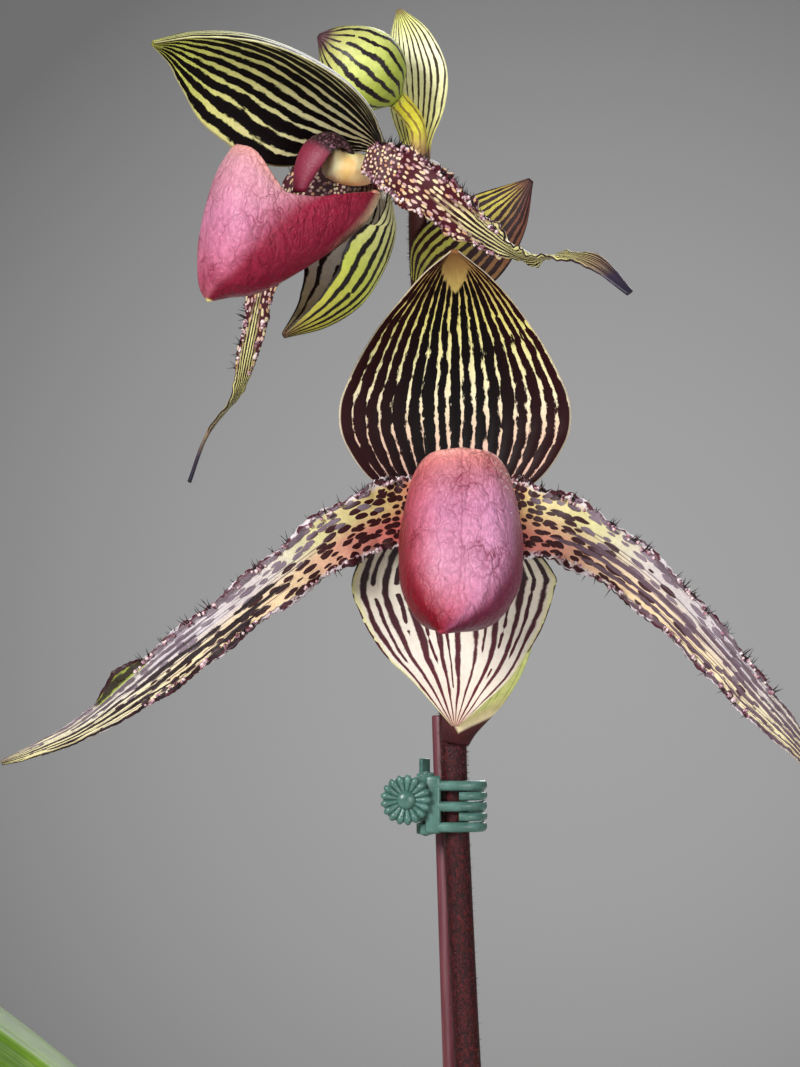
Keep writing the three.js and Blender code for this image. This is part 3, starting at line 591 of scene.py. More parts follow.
# %% Hairs and warts of the petals
dark_hair = speckled("hair_dark", {"Scale": 400.0}, [(0.3, "#0e0304"), (0.7, "#2c0c12")], Roughness=0.5)
mauve_wart = speckled("wart_mauve", {"Scale": 900.0, "Detail": 2.0}, [
    (0.36, "#4a1420"), (0.48, "#a07080"), (0.62, "#e2d0cc")], Roughness=0.4, Subsurface_Weight=0.1,
    Subsurface_Scale=0.001)


def petal_place(rows, side, u, v):
    here, along, across, front, width = frame_at(rows, v, side)
    sideways = 2 * u - 1
    return here + across * width * sideways, across * math.copysign(1, sideways), along, front


def petal_piece(node, rows, skins, place, seed, extra=None, tufts=30, until=0.7, columns=24, steps=260):
    draw = random.Random(seed)
    side = Vector((0, 0, -1 if rows[2][0] > 0 else 1))
    bm = thicken(sheet(rows, side, columns, steps, cup=-0.08, wave=1.1, waves=9, ruffle=0.1, crinkle=0.5,
                       extra=extra), PETAL_MM, 0)
    hairs, warts = [], []
    upper = 0.03 if rows[2][0] > 0 else 0.97
    for edge in (0.03, 0.97):
        for i in range(tufts):
            v = 0.04 + (until - 0.04) * (i + draw.random()) / tufts
            for _ in range(draw.choice((2, 3, 4, 5) if edge == upper else (0, 0, 1))):
                at = v + draw.uniform(-0.004, 0.004)
                root, outward, along, front = petal_place(rows, side, edge, at)
                aim = outward + along * draw.uniform(-0.5, 0.5) + front * draw.uniform(-0.2, 0.7)
                root = root - outward * 0.3
                hairs.append(hair(root, root + aim.normalized() * draw.uniform(1.2, 3.1), 0.19))
            root, outward, along, front = petal_place(rows, side, edge, v)
            for _ in range(3):
                spot = root + along * draw.uniform(-1.5, 1.5) + front * draw.uniform(-0.2, 0.6)
                warts.append(wart(spot - outward * draw.uniform(0, 0.8), draw.uniform(0.3, 0.62)))
    add_in_batches(bm, hairs, 1)
    add_in_batches(bm, warts, 2)
    return finish_piece(node + "_skin", bm, [skins, dark_hair, mauve_wart], [node], place=place)


# %% Petals of the front flower
front_left_rows = [
    [-0.9, 1.5, 0, 4, 0], [-6, 0.3, 0.6, 6.8, 0], [-12, -1.6, -0.4, 7.6, 0], [-24.1, -5, -4.7, 6.4, 0],
    [-36.2, -7, -13.2, 5.5, 0], [-48.9, -8, -23, 4.9, 0], [-60.6, -7, -32.1, 5, 0], [-70, -6, -39.4, 3.9, 0],
    [-81, -3, -46.9, 2.4, 0], [-91.9, 0, -51.9, 1.3, 0], [-98, 2, -54.1, 0.6, 0]]
front_right_rows = [
    [0.9, 1.5, 0, 4, 0], [6, 0.3, 0.4, 7, 0], [12.8, -1.6, -1.7, 8, 0], [25.9, -5, -6, 6.6, 0],
    [40.6, -7, -16.4, 5.6, 0], [54.2, -7, -30.2, 4.7, 0], [62.5, -6, -39.8, 4.2, 0],
    [69.5, -4, -47.2, 3.2, 0], [75.5, -1, -54, 2, 0], [80.4, 2, -59.9, 0.6, 0]]


def left_flap(sideways, v):
    # A raised fold near the tip of the left petal's upper edge.
    near = max(0, 1 - abs(v - 0.7) / 0.055)
    rise = near ** 0.7 * max(0, sideways) ** 4
    return 2.2 * rise, 1.8 * rise


petal_piece("front_flower_left_petal", front_left_rows, left_petal_skin, front_place, 3, left_flap)
petal_piece("front_flower_right_petal", front_right_rows, right_petal_skin, front_place, 4)

# %% [markdown]
# The pouch is the slipper that gives the orchid its name: a waxy cup, rose in front under a painted
# highlight, deep red at its sides and toe with painted shade on them, salmon at its rim. A net of
# fine dark veins runs down it, and the skin is puckered between them.

# %% Waxy skin of a pouch
def pouch_skin(name, stops, rise, edge, left_text, right_text, mauve, low):
    add, wear = start_material(name, Roughness=0.36, Specular_IOR_Level=0.15, Coat_Weight=0.03, Coat_Roughness=0.25)
    place = add("UVMap", uv_map="share")
    parts = add("SeparateXYZ", place).node.outputs
    color = fade(add, parts["Y"], stops)
    turn = add("MULTIPLY", parts["X"], 2 * math.pi)
    ahead = add("COSINE", turn)
    # The dark red lies low on the pouch and far round its sides: partly the pouch's own deep red, partly painted shade
    # where the pouch turns away from the light.
    facing = add("MULTIPLY_ADD", parts["Y"], rise, ahead)
    sides = add("MapRange", facing, edge[0], edge[1], 0.0, 0.97, interpolation_type="SMOOTHSTEP")
    flank = add("SINE", turn)
    edges = add("Mix", add("MapRange", flank, -0.2, 0.2), left_text, right_text)
    # Painted shade darkens this deep red towards the toe.
    edges = add("HueSaturation", Color=edges, Value=add("MapRange", parts["Y"], 0.15, 0.75, 0.66))
    lilac = add("MapRange", flank, -0.05, 0.3, 0.0, mauve)
    lilac = add("MULTIPLY", lilac, add("MapRange", parts["Y"], 0.9, 0.7))
    color = add("Mix", lilac, color, "#cf90b4")
    warm = add("MapRange", flank, -0.15, -0.75, 0.0, 0.75)
    color = add("Mix", warm, color, "#b0363e")
    color = add("Mix", sides, color, edges)
    # The back of the rim, next to the flower's middle, fades to cream.
    tail = add("MapRange", ahead, -0.72, -0.95)
    tail = add("MULTIPLY", tail, add("MapRange", parts["Y"], 0.6, 0.9))
    # The net has meshes of about 1.2 by 2 mm, and the main veins lie some 4 mm apart.
    spot = add("Mapping", add("TexCoord", out="Object"), Scale=(1000 / 1.2, 1000 / 1.5, 1000 / 2.0))
    warp = add("TexNoise", Vector=spot, Scale=0.5, Detail=3.0, out="Color")
    moved = add("VectorMath", warp, Scale=2.4, operation="SCALE")
    spot = add("VectorMath", spot, moved, operation="ADD")
    net = add("TexVoronoi", Vector=spot, Scale=1.0, feature="DISTANCE_TO_EDGE")
    main = add("TexVoronoi", Vector=spot, Scale=0.3, feature="DISTANCE_TO_EDGE")
    fine_lines = add("MapRange", net, 0.0, 0.14, 0.42, 0.0, interpolation_type="SMOOTHSTEP")
    main_lines = add("MapRange", main, 0.0, 0.045, 0.8, 0.0, interpolation_type="SMOOTHSTEP")
    lines = add("MAXIMUM", fine_lines, main_lines)
    faint = add("TexNoise", Vector=add("TexCoord", out="Object"), Scale=110.0, Detail=3.0)
    lines = add("MULTIPLY", lines, add("MapRange", faint, 0.35, 0.65))
    # Blotches of darker red gather low on the pouch, 3 to 8 mm across.
    blush = add("MapRange", parts["Y"], 0.14, 0.42, low, -0.1)
    blush = add("MapRange", add("ADD", faint, blush), 0.48, 0.72, None, 0.85)
    color = add("Mix", blush, color, edges)
    color = add("Mix", lines, color, "#640c24")
    keel = add("MapRange", add("ABSOLUTE", flank), 0.002, 0.008, 0.3, 0.0)
    color = add("Mix", keel, color, "#7c2840")
    color = add("Mix", tail, color, "#e6cfa8")
    toe = add("MapRange", parts["Y"], 0.045, 0.025)
    color = add("Mix", toe, color, stops[0][1])
    color, grain = mottle(add, color, 0.16, 1.1)
    pucker = bump(add, add("MapRange", net, 0.0, 0.35), 0.25, 0.5)
    folds = bump(add, add("MapRange", main, 0.0, 0.25), 0.4, 0.6, pucker)
    return wear(color, bump(add, grain, 0.25, 0.6, folds))


def pouch_lining():
    add, wear = start_material("pouch_lining", Roughness=0.5)
    place = add("Mapping", add("TexCoord", out="Object"), Scale=(1000 / 2.0,) * 3)
    cells = add("TexVoronoi", Vector=place, Scale=1.0)
    return wear(fade(add, cells, [(0.1, "#7a2038"), (0.45, "#c98a70"), (0.9, "#e0c090")]),
                bump(add, cells, 0.3, 0.5))


# The front pouch's rose, from a fifth to seven tenths of the way up, is its own colour lightened by a painted
# highlight.
front_pouch_skin = pouch_skin("pouch_waxy_front", [
    (0.0, "#8c2c3c"), (0.04, "#a83048"), (0.1, "#b44460"), (0.2, "#c86078"), (0.45, "#c4849e"), (0.7, "#b87492"),
    (0.86, "#b8707c"), (0.94, "#cc7c7c"), (1.0, "#e09c90")], 0.8, (1.42, 0.85), "#7c0418", "#782444", 0.6, 0.05)
side_pouch_skin = pouch_skin("pouch_waxy_side", [
    (0.0, "#e8d488"), (0.035, "#dcc07c"), (0.06, "#c46c78"), (0.14, "#c86c80"), (0.32, "#b85c78"), (0.6, "#bc7490"),
    (0.9, "#cc909c"), (1.0, "#dc9c94")], 0.6, (1.12, 0.48), "#881030", "#881030", 0.1, 0.25)
lining = pouch_lining()

# %% Pouch of each flower
pouch_rows = [
    [48.4, -25.3, 48.4, -25.3, 0], [48.9, -22.2, 43.4, -24.9, 4.4], [48.3, -17.8, 35.5, -24.6, 8.7],
    [46.6, -10, 24, -20.4, 12], [43.4, -1, 13, -15.4, 12.6], [39.6, 6.5, 4.6, -9.8, 12.6],
    [35.4, 11.6, 0, -3.2, 12.2]]
front_rim_heights = [[12.6], [10.9], [5], [-5.4], [-4.8], [-4.2], [-4.4], [-3.2]]
side_rim_heights = [[11.8], [9.2], [-1.5], [-3.8], [-3.2], [-3.5], [-4.2], [-3.2]]


def pouch_at(u, v, size, nod, lean, rim):
    keel_out, keel_up, back_out, back_up, half_width = row_at(pouch_rows, v)
    turn = 2 * math.pi * u
    rim_keel_up, rim_back_up = pouch_rows[-1][1], pouch_rows[-1][3]
    ahead = math.cos(turn)
    out = (keel_out + back_out) / 2 + (keel_out - back_out) / 2 * ahead
    plain_rim = (rim_keel_up + rim_back_up) / 2 + (rim_keel_up - rim_back_up) / 2 * ahead
    dip = row_at(rim, 1 - abs(1 - 2 * u))[0] - plain_rim
    up = (keel_up + back_up) / 2 + (keel_up - back_up) / 2 * ahead + dip * v ** 5
    sine = math.sin(turn)
    side = math.copysign(half_width * abs(sine) ** 0.66, sine)
    aside = side + lean * (1 - v) ** 4
    return nod @ Vector((size * aside, -size * out, size * up))


def pouch_piece(node, skin, place, size, pitch, lean, rim, columns=120, steps=64):
    nod = Matrix.Rotation(math.radians(pitch), 3, "X")
    bm = flat_grid(columns, steps)
    places = {}
    for vert in bm.verts:
        u, v = vert.co.x + 0.5, vert.co.y + 0.5
        vert.co = pouch_at(u, v, size, nod, lean, rim)
        places[vert.index] = (u, v, 70 * u, 50 * v)
    name_places(bm, places)
    bmesh.ops.remove_doubles(bm, verts=bm.verts, dist=1e-3)
    bmesh.ops.recalc_face_normals(bm, faces=bm.faces)
    if bm.faces[0].normal.dot(bm.faces[0].calc_center_median() - Vector((0, -30 * size, -8 * size))) < 0:
        bmesh.ops.reverse_faces(bm, faces=bm.faces)
    bm = thicken(bm, PETAL_MM, 1)
    return finish_piece(node + "_skin", bm, [skin, lining], [node], place=place)


pouch_piece("front_flower_pouch", front_pouch_skin, front_place, 1, 0, -4.4, front_rim_heights)
pouch_piece("side_flower_pouch", side_pouch_skin, side_place, side_size, 7.5, 0, side_rim_heights)

# %% [markdown]
# The side flower is seen from its flank. Its upper sepal arches over the pouch like a
# hood, with the dark stripes inside and a whiter back, and its lower sepal is greener.

# %% Sepals of the side flower
def side_dorsal_face():
    add, wear = start_material("sepal_striped_yellow", Roughness=0.55, Specular_IOR_Level=0.12)
    mask, u, v = veins(add, 13, 0.34, 0.14, (-1, 0.97), 0.04, 12, 0.24, wider=0.14)
    ground = fade(add, v, [(0.0, "#c9a88c"), (0.35, "#ded6a4"), (0.6, "#dad58a"), (0.85, "#c9cf62"), (1.0, "#8c8a40")])
    edge = add("MapRange", spread_out(add, u), 0.492, 0.496)
    mask = add("SUBTRACT", mask, edge, use_clamp=True)
    color = add("Mix", mask, ground, "#0b0405")
    color = add("Mix", edge, color, "#a8a078")
    color, grain = mottle(add, color, 0.1, 1.5)
    return wear(color, bump(add, grain, 0.2, 0.5, bump(add, mask, 0.2, 0.5)))


def green_veined(name, count, width, stops, ink, seed, first=-1, rise=0.0):
    return veined(name, (count, width, 0.08, (first, 1.2), 0.1, seed, 0.27), stops, ink, (0.1, 1.3), rise=rise)


yellow_face = side_dorsal_face()
side_synsepal_skin = green_veined("synsepal_green", 12, 0.22, [
    (0.0, "#d9cda8"), (0.3, "#dcd894"), (0.6, "#c4cc58"), (0.9, "#a8a03c"), (1.0, "#5a3a22")], "#120a0a", 22)
side_synsepal_face = green_veined("synsepal_pale", 12, 0.17, [
    (0.0, "#e8e2d4"), (0.5, "#f6f4ec"), (0.85, "#e0d8a8"), (1.0, "#6a4a2a")], "#1c0c10", 23)
side_dorsal_rows = [
    [0, 3.1, 0.7, 4.5, 0], [0, 3, 7.5, 5, 0], [0, -4, 14.2, 15, 18], [0, -14, 20.8, 20.6, 25],
    [0, -26.5, 27.4, 20.6, 27], [0, -39.5, 31.6, 17.4, 28], [0, -51, 32.8, 9.4, 28], [0, -59.6, 31.4, 0.8, 28]]
side_synsepal_rows = [
    [0, 3.1, -0.7, 4], [0, 5.2, -8, 6], [0, 5.6, -14.5, 9], [0, 2.2, -23.5, 12], [0, -4, -32, 11],
    [0, -13, -37.3, 7], [0, -24, -40, 0.8]]

sepal_piece("side_flower_dorsal_sepal", scaled(side_dorsal_rows), [yellow_face, striped_back], side_place, 60, 96,
            0.6, 0.1, 14)
sepal_piece("side_flower_synsepal", scaled(side_synsepal_rows), [side_synsepal_skin, side_synsepal_face], side_place,
            64, 84, -1.3, 0.1, 11)

# %% [markdown]
# The side flower's petals are seen against the light. Near the flower they are a maroon
# net round cream warts, then cream with dark lines, and the tips are dark purple.

# %% Petals of the side flower
def beaded_face(name, seed, until):
    add, wear = start_material(name, Roughness=0.45, Specular_IOR_Level=0.35)
    lines, u, v = veins(add, 8, 0.26, 0.12, (0.1, 0.9), 0.05, seed, 0.25)
    flat = add("SeparateXYZ", add("UVMap", uv_map="flat")).node.outputs
    # Beads are about 0.9 mm wide and 1.6 mm long.
    cells = add("CombineXYZ", add("DIVIDE", flat["X"], 0.95), add("DIVIDE", flat["Y"], 1.6), float(seed))
    far = add("TexVoronoi", Vector=cells, Scale=1.0, Randomness=0.85, voronoi_dimensions="2D")
    beads = add("MapRange", far, 0.38, 0.27, interpolation_type="SMOOTHSTEP")
    kind = add("SeparateColor", far.node.outputs["Color"]).node.outputs
    bead_tint = fade(add, kind["Red"], [(0.0, "#c48c68"), (0.4, "#dccaa0"), (0.7, "#d8b4a8"), (1.0, "#8c5468")])
    warty = add("Mix", beads, "#420c18", bead_tint)
    ground = fade(add, v, [
        (0.0, "#dcb894"), (0.3, "#e2d0a0"), (0.55, "#dcd690"), (0.78, "#c8c078"), (0.88, "#8a7458"),
        (0.94, "#2f2638"), (1.0, "#1c1626")])
    plain = add("Mix", lines, ground, "#241014")
    # The margins stay warty further out than the middle.
    inner = add("MULTIPLY_ADD", spread_out(add, u), -0.35, v)
    here = add("MapRange", inner, until - 0.08, until)
    color = add("Mix", here, warty, plain)
    color, grain = mottle(add, color, 0.1, 1.0)
    rise = add("MULTIPLY", beads, add("MapRange", here, None, None, 1.0, 0.0))
    return wear(color, bump(add, grain, 0.15, 0.5, bump(add, rise, 0.4, 0.7)))


near_skin = beaded_face("petal_beaded_near", 31, 0.34)
far_skin = beaded_face("petal_beaded_far", 37, 0.6)
side_near_rows = [
    [5.8, -4.4, 3.8, 2.6, 0], [8, -1.2, 2.4, 4.6, 0], [12.6, 2.2, -0.4, 5.6, 0], [23.8, 7.3, -7.7, 5.1, 0],
    [35.6, 9, -13.2, 4.6, 25], [46.7, 11.3, -18.1, 3.9, 55], [53, 12.7, -18.9, 2.7, 85],
    [59.8, 15.3, -19, 1.9, 115], [66.9, 18.4, -20.8, 2, 130], [73.4, 22.5, -26.9, 0.8, 130]]
side_far_rows = [
    [-0.9, 1.5, 0.2, 3.5, 0], [-6, 0, 0.4, 4, 0], [-16, -0.9, 0, 5.6, 0], [-32.4, -2.4, -1.3, 5.2, 0],
    [-44.9, -0.6, -10, 4.6, 0], [-53.9, -0.9, -21.7, 3.4, -25], [-62.5, -0.3, -35.1, 2.3, -50],
    [-66.5, -1.4, -44.5, 1.3, -80], [-72, -6, -53.4, 1.1, -110], [-75.6, -8.8, -64, 0.6, -130]]
petal_piece("side_flower_right_petal", side_near_rows, near_skin, side_place, 6, until=0.5)
petal_piece("side_flower_left_petal", side_far_rows, far_skin, side_place, 7, until=0.72)

# %% [markdown]
# The column is the flower's heart. Behind it stands a maroon shield covered with short
# dark hairs, and the column itself is cream with a yellow knob.

# %% Column and shield
def shield_material():
    add, wear = start_material("shield_maroon", Roughness=0.55)
    place = add("Mapping", add("TexCoord", out="Object"), Scale=(1000 / 0.55,) * 3)
    speck = add("TexNoise", Vector=place, Scale=1.0, Detail=2.0)
    along = add("SeparateXYZ", add("UVMap", uv_map="share")).node.outputs["Y"]
    color = fade(add, speck, [(0.45, "#1c080c"), (0.56, "#341018"), (0.62, "#7c5464")])
    color = add("Mix", add("MapRange", along, 0.56, 0.66), color, "#7c1c38")
    return wear(color, bump(add, speck, 0.2, 0.6))


shield_skin = shield_material()
cream_skin = speckled("column_cream", {"Scale": 160.0, "Detail": 3.0}, [
    (0.35, "#ecc47c"), (0.55, "#ffeab4"), (0.7, "#fff4d0")], (0.3, 0.4), Roughness=0.4, Subsurface_Weight=0.3,
    Subsurface_Scale=0.002)
post_rows = [[0, 0.4, 1.2, 2.7], [0, -3, 1.8, 4], [0, -8, 2.6, 4.4], [0, -12, 3.6, 3.4]]
shield_rows = [[0, -5, 3, 2], [0, -8, 8.4, 4.2], [0, -12.5, 10.2, 5.8], [0, -17, 8, 6.2], [0, -19.6, 3, 5.4],
               [0, -20.6, -4, 2.2]]


def column_piece(node, place, size, seed):
    draw = random.Random(seed)
    rows = scaled(shield_rows, size)
    bm = thicken(sheet(rows, ACROSS, 24, 36, cup=0.6), SHIELD_MM, 0)
    hairs = []
    for _ in range(900):
        u, v = draw.uniform(0.05, 0.95), draw.uniform(0.05, 0.7)
        here, along, across, front, width = frame_at(rows, v, ACROSS)
        root = here + across * width * (2 * u - 1) + front * (0.6 * width * (2 * u - 1) ** 2)
        aim = front + across * draw.uniform(-0.5, 0.5) + along * draw.uniform(-0.5, 0.5)
        hairs.append(hair(root, root + aim.normalized() * draw.uniform(1.1, 1.7), 0.07))
    add_in_batches(bm, hairs, 1)
    post = stalk(scaled(post_rows, size), 20, 16)
    for face in post.faces:
        face.material_index = 2
    take_in(bm, post)
    knobs = [wart(Vector((side * 1.6, -9.2, 1.6)) * size, 1.1 * size) for side in (-1, 1)]
    add_in_batches(bm, knobs, 3)
    return finish_piece(node + "_skin", bm, [shield_skin, dark_hair, cream_skin, cream_skin], [node],
                        place=place)


column_piece("front_flower_column", front_place, 1, 41)
column_piece("side_flower_column", side_place, side_size, 42)

# %% [markdown]
# Under each flower a bract, a small leaf, wraps the ovary. The unopened bud still shows
# the stripes of its sepals from outside, and its point has turned purple brown.

# %% Bracts, ovaries and bud
def side_bract_face():
    add, wear = start_material("bract_maroon_green", Roughness=0.5, Specular_IOR_Level=0.3)
    mask, u, v = veins(add, 10, 0.27, 0.12, (-1, 1.0), 0.06, 72, 0.28)
    green = fade(add, v, [(0.0, "#b0a848"), (0.4, "#c6c25c"), (0.8, "#c8b850"), (0.95, "#7c5038"), (1.0, "#2c1418")])
    brown = fade(add, v, [(0.0, "#8c7c40"), (0.3, "#a08048"), (0.6, "#8a5a3c"), (0.9, "#6c3a34"), (1.0, "#2c1418")])
    ground = add("Mix", add("MapRange", u, 0.35, 0.7), green, brown)
    color = add("Mix", mask, ground, "#2c1012")
    color, grain = mottle(add, color, 0.14, 1.3)
    return wear(color, bump(add, grain, 0.2, 0.5, bump(add, mask, 0.12, 0.4)))


def ovary_skin():
    add, wear = start_material("ovary_maroon", Roughness=0.55)
    mask, u, v = veins(add, 6, 0.25, 0.15, (-1, 2), 0.1, 61)
    color = add("Mix", mask, "#6b3a34", "#3a1a1e")
    color, grain = mottle(add, color, 0.15, 0.9)
    return wear(color, bump(add, grain, 0.3, 0.6))


bud_bract_skin = green_veined("bract_pale_green", 11, 0.15, [
    (0.0, "#6c3848"), (0.08, "#a07c60"), (0.16, "#f0e668"), (0.35, "#fffaa8"), (0.7, "#fffbd2"), (0.93, "#dcdc80"),
    (1.0, "#7c6038")], "#3c3020", 71)
side_bract_skin = side_bract_face()
bud_ovary_skin = green_veined("ovary_yellow_green", 7, 0.12, [
    (0.0, "#7e4048"), (0.2, "#c4a85c"), (0.4, "#f0e650"), (0.8, "#f6ea3c"), (1.0, "#ccd454")], "#a08040", 74)
front_bract_skin = green_veined("bract_light_green", 16, 0.1, [
    (0.0, "#3c1218"), (0.1, "#4a1a1e"), (0.13, "#f0dcb4"), (0.19, "#d8c890"), (0.26, "#d8dc88"), (0.6, "#e6ea98"),
    (1.0, "#eef0b0")], "#aab45c", 73, 0.35, -0.3)
bud_material = veined("bud_green_striped", (17, 0.19, 0.1, (0.02, 0.93), 0.08, 53, 0.3), [
    (0.0, "#9cac40"), (0.3, "#b0bc4c"), (0.55, "#cbd276"), (0.84, "#a8a45c"), (0.93, "#5a3a3a"), (1.0, "#47262e")],
    "#1e1418", (0.12, 1.4), (0.25, 0.5))
ovary_material = ovary_skin()
bract_data = {
    "front_flower_bract": (front_bract_skin, (1, 0, 0), -0.25, [
        [-2.8, -3.2, 320.5, 3], [-1.6, -6.2, 324.5, 4.4], [1.4, -9.4, 331, 6.6], [5, -11.4, 340, 7.8],
        [8.6, -12, 349.5, 6.4], [11, -11.6, 358.5, 3.4], [12, -11, 363.5, 0.6]]),
    "side_flower_bract": (side_bract_skin, (0.55, 0, -0.83), -0.3, [
        [-10.2, 2.6, 419.6, 3.2], [-7, -0.7, 423.6, 8], [0, -1.8, 428.6, 9.6], [7.4, -1.6, 435.5, 6.6],
        [13.7, -0.6, 442.8, 0.6]]),
    "bud_bract": (bud_bract_skin, (0.9, -0.44, 0), -0.3, [
        [-10.6, 6.6, 446.5, 2.6], [-11.4, 7.4, 452, 3.8], [-11.8, 7.8, 459, 6.6], [-12, 7.4, 467, 7.3],
        [-13.2, 6.2, 474.5, 5], [-15, 4.8, 480.4, 0.6]])}
for name, (skin, side, cup, rows) in bract_data.items():
    bm = thicken(sheet(rows, Vector(side), 40, 60, cup=cup), BRACT_MM, 0)
    finish_piece(name + "_skin", bm, [skin], [name])

stalk_data = {
    "front_flower_ovary": [[-3, -4, 327.4, 1.9], [-3, -4.8, 336, 2.3], [-2.8, -5.8, 347, 2.9], [-2.4, -8, 358, 3.3],
                           [-2.1, -12.3, 367.5, 3.4], [-2, -15, 370.9, 3.4], [-2, -16.4, 371, 3.4]],
    "side_flower_ovary": [[-6.5, 5.4, 428.5, 1.9], [-5.8, 5.4, 434, 2.2], [-6.4, 2.6, 440.5, 2.5],
                          [-7.6, -5, 443.4, 2.8], [-9.4, -14, 443.6, 3], [-12.4, -22.4, 442.3, 3],
                          [-15.7, -25.3, 441.6, 3], [-17.5, -26.2, 441.5, 3]],
    "bud_ovary": [[-11, 4, 447.4, 1.7], [-10.8, 3.8, 452, 1.9], [-11.8, 2.2, 456, 2.1], [-14.4, -0.3, 459.2, 2.2],
                  [-15.6, -0.85, 460.3, 2.2]]}
for name, rows in stalk_data.items():
    skin = bud_ovary_skin if name == "bud_ovary" else ovary_material
    finish_piece(name + "_skin", stalk(rows, 20, 40), [skin], [name])

bud_rows = [
    [-15.9, -1, 460.6, 2.6], [-18.6, -2.1, 463, 7.2], [-22.2, -3.4, 466.2, 9.1], [-25.8, -4.7, 469.2, 8.1],
    [-29.3, -5.9, 471.8, 4.9], [-32.4, -7, 473.6, 0.6]]
# Three seams run along the bud, where the folded sepals meet.
seams = stalk(bud_rows, 72, 48, relief=lambda u, t: 0.35 * math.sin(math.pi * t) * abs(math.cos(3 * math.pi * u)) ** 8)
finish_piece("bud_skin", seams, [bud_material], ["bud"])

# %% [markdown]
# The flower stem is dark maroon and covered all over with fine pale down. Each hair is a
# thin cone about one millimetre long. There are thousands, each with only three sides.

# %% Downy flower stem
def stem_skin():
    add, wear = start_material("stem_maroon", Roughness=0.45, Specular_IOR_Level=0.2)
    place = add("Mapping", add("TexCoord", out="Object"), Scale=(1000 / 0.6, 1000 / 0.6, 1000 / 0.8))
    noise = add("TexNoise", Vector=place, Scale=1.0, Detail=5.0, Roughness=0.7)
    color = fade(add, noise, [(0.35, "#160406"), (0.5, "#30080c"), (0.65, "#541418")])
    height = add("SeparateXYZ", add("TexCoord", out="Object")).node.outputs["Z"]
    color = add("Mix", add("MapRange", height, 0.325, 0.36), color, "#4c2420")
    return wear(color, bump(add, noise, 0.3, 0.7))


stem_material = stem_skin()
pale_down = speckled("down_pale", {"Scale": 700.0}, [(0.4, "#28080c"), (0.66, "#84605c")], Roughness=0.6)
stem_rows = [
    [5, -4, 150.3, 3.2], [4.6, -3.4, 175, 3.0], [2.6, -1.6, 212, 2.9], [0, 0, 250, 2.85], [-2.4, 0, 299, 2.8],
    [-3, 0.1, 315, 2.8], [-3.3, 1, 325, 2.9], [-3.8, 3.6, 338, 2.4], [-5, 6.4, 358, 2.2], [-7, 7.4, 382, 2.1],
    [-9.2, 6.6, 406, 2.0], [-10.7, 5, 427, 2.1], [-11, 4, 447, 1.8]]
stem = stalk(stem_rows, 32, 300)
draw = random.Random(17)
down = []
for _ in range(7000):
    here, along, across, front, radius = frame_at(stem_rows, draw.uniform(0.01, 0.99), ACROSS)
    turn = draw.uniform(0, 2 * math.pi)
    outward = across * math.cos(turn) + front * math.sin(turn)
    root = here + outward * (radius - 0.1)
    aim = outward + along * draw.uniform(-0.2, 0.5) + across * draw.uniform(-0.3, 0.3)
    down.append(hair(root, root + aim.normalized() * draw.uniform(0.5, 1.1), 0.045))
add_in_batches(stem, down, 1)
finish_piece("flower_stem_skin", stem, [stem_material, pale_down], ["flower_stem"])

# %% [markdown]
# A smooth painted stick stands behind the stem and holds it up.

# %% Support stake
def rounded_rod(radius, length, matrix, segments, soft, bevels):
    part = bmesh.new()
    bmesh.ops.create_cone(part, cap_ends=True, segments=segments, radius1=radius, radius2=radius, depth=length,
                          matrix=matrix)
    ends = [edge for edge in part.edges if any(len(face.verts) > 4 for face in edge.link_faces)]
    bmesh.ops.bevel(part, geom=ends, offset=soft, segments=bevels, profile=0.5, affect="EDGES", material=-1)
    return part


stake_material = speckled("stake_painted", {"Scale": 1.0, "Detail": 4.0}, [
    (0.3, "#58282e"), (0.5, "#642f38"), (0.7, "#703c42")], (0.2, 0.35), (0.8, 0.8, 14.0), Roughness=0.42)
foot, head = Vector((2.3, 10, 60)), Vector((-6.1, 5.3, 326.3))
turned = Matrix.Translation((foot + head) / 2) @ (head - foot).to_track_quat("Z", "Y").to_matrix().to_4x4()
rod = rounded_rod(1.75, (head - foot).length, turned, 40, 0.4, 3)
finish_piece("stake_skin", rod, [stake_material], ["stake"], sharp=50)

# %% [markdown]
# The clip is moulded from teal plastic. Two jaws close round the stem and the stake, and a
# small daisy is moulded on the front one. The daisy's rays are rounded, so each is a
# stretched ball, and the fingers are rounded bars.

# %% Moulded teal plastic
def plastic():
    add, wear = start_material("clip_plastic_teal", Roughness=0.32, Subsurface_Weight=0.08, Subsurface_Scale=0.001)
    place = add("Mapping", add("TexCoord", out="Object"), Scale=(1000 / 3.0,) * 3)
    noise = add("TexNoise", Vector=place, Scale=1.0, Detail=4.0)
    color = fade(add, noise, [(0.3, "#345850"), (0.5, "#44685e"), (0.7, "#527870")])
    fine = add("TexNoise", Vector=place, Scale=12.0, Detail=2.0)
    return wear(color, bump(add, fine, 0.04, 0.4))


teal = plastic()
spring_wire = speckled("spring_steel_drawn", {"Scale": 1.0}, [(0.3, "#9a9ca0"), (0.7, "#c2c5c8")], (0.01, 0.3),
                       (0.2, 0.2, 0.2), Roughness=0.3, Metallic=1.0)
hinge = Matrix.Translation((-9.2, 0.6, 307.2))


def bar(points, centre, width, height):
    rows = [[x, y, centre, height / 2] for x, y in points]
    return stalk(rows, 16, 32, side=Vector((0, 0, 1)), flat=width / height)


def join(parts):
    whole = bmesh.new()
    for part in parts:
        take_in(whole, part)
    return whole


def block(x, y, z, size, turn=0, soft=0.35):
    part = bmesh.new()
    matrix = Matrix.Translation((x, y, z)) @ Matrix.Rotation(math.radians(turn), 4, "Z")
    bmesh.ops.create_cube(part, size=1, matrix=matrix @ Matrix.Diagonal((*size, 1)))
    bmesh.ops.bevel(part, geom=part.edges, offset=soft, segments=3, profile=0.5, affect="EDGES", material=-1)
    return part


def hub(low, high, radius=2.0):
    return rounded_rod(radius, high - low, Matrix.Translation((0, 0, (low + high) / 2)), 32, 0.3, 2)


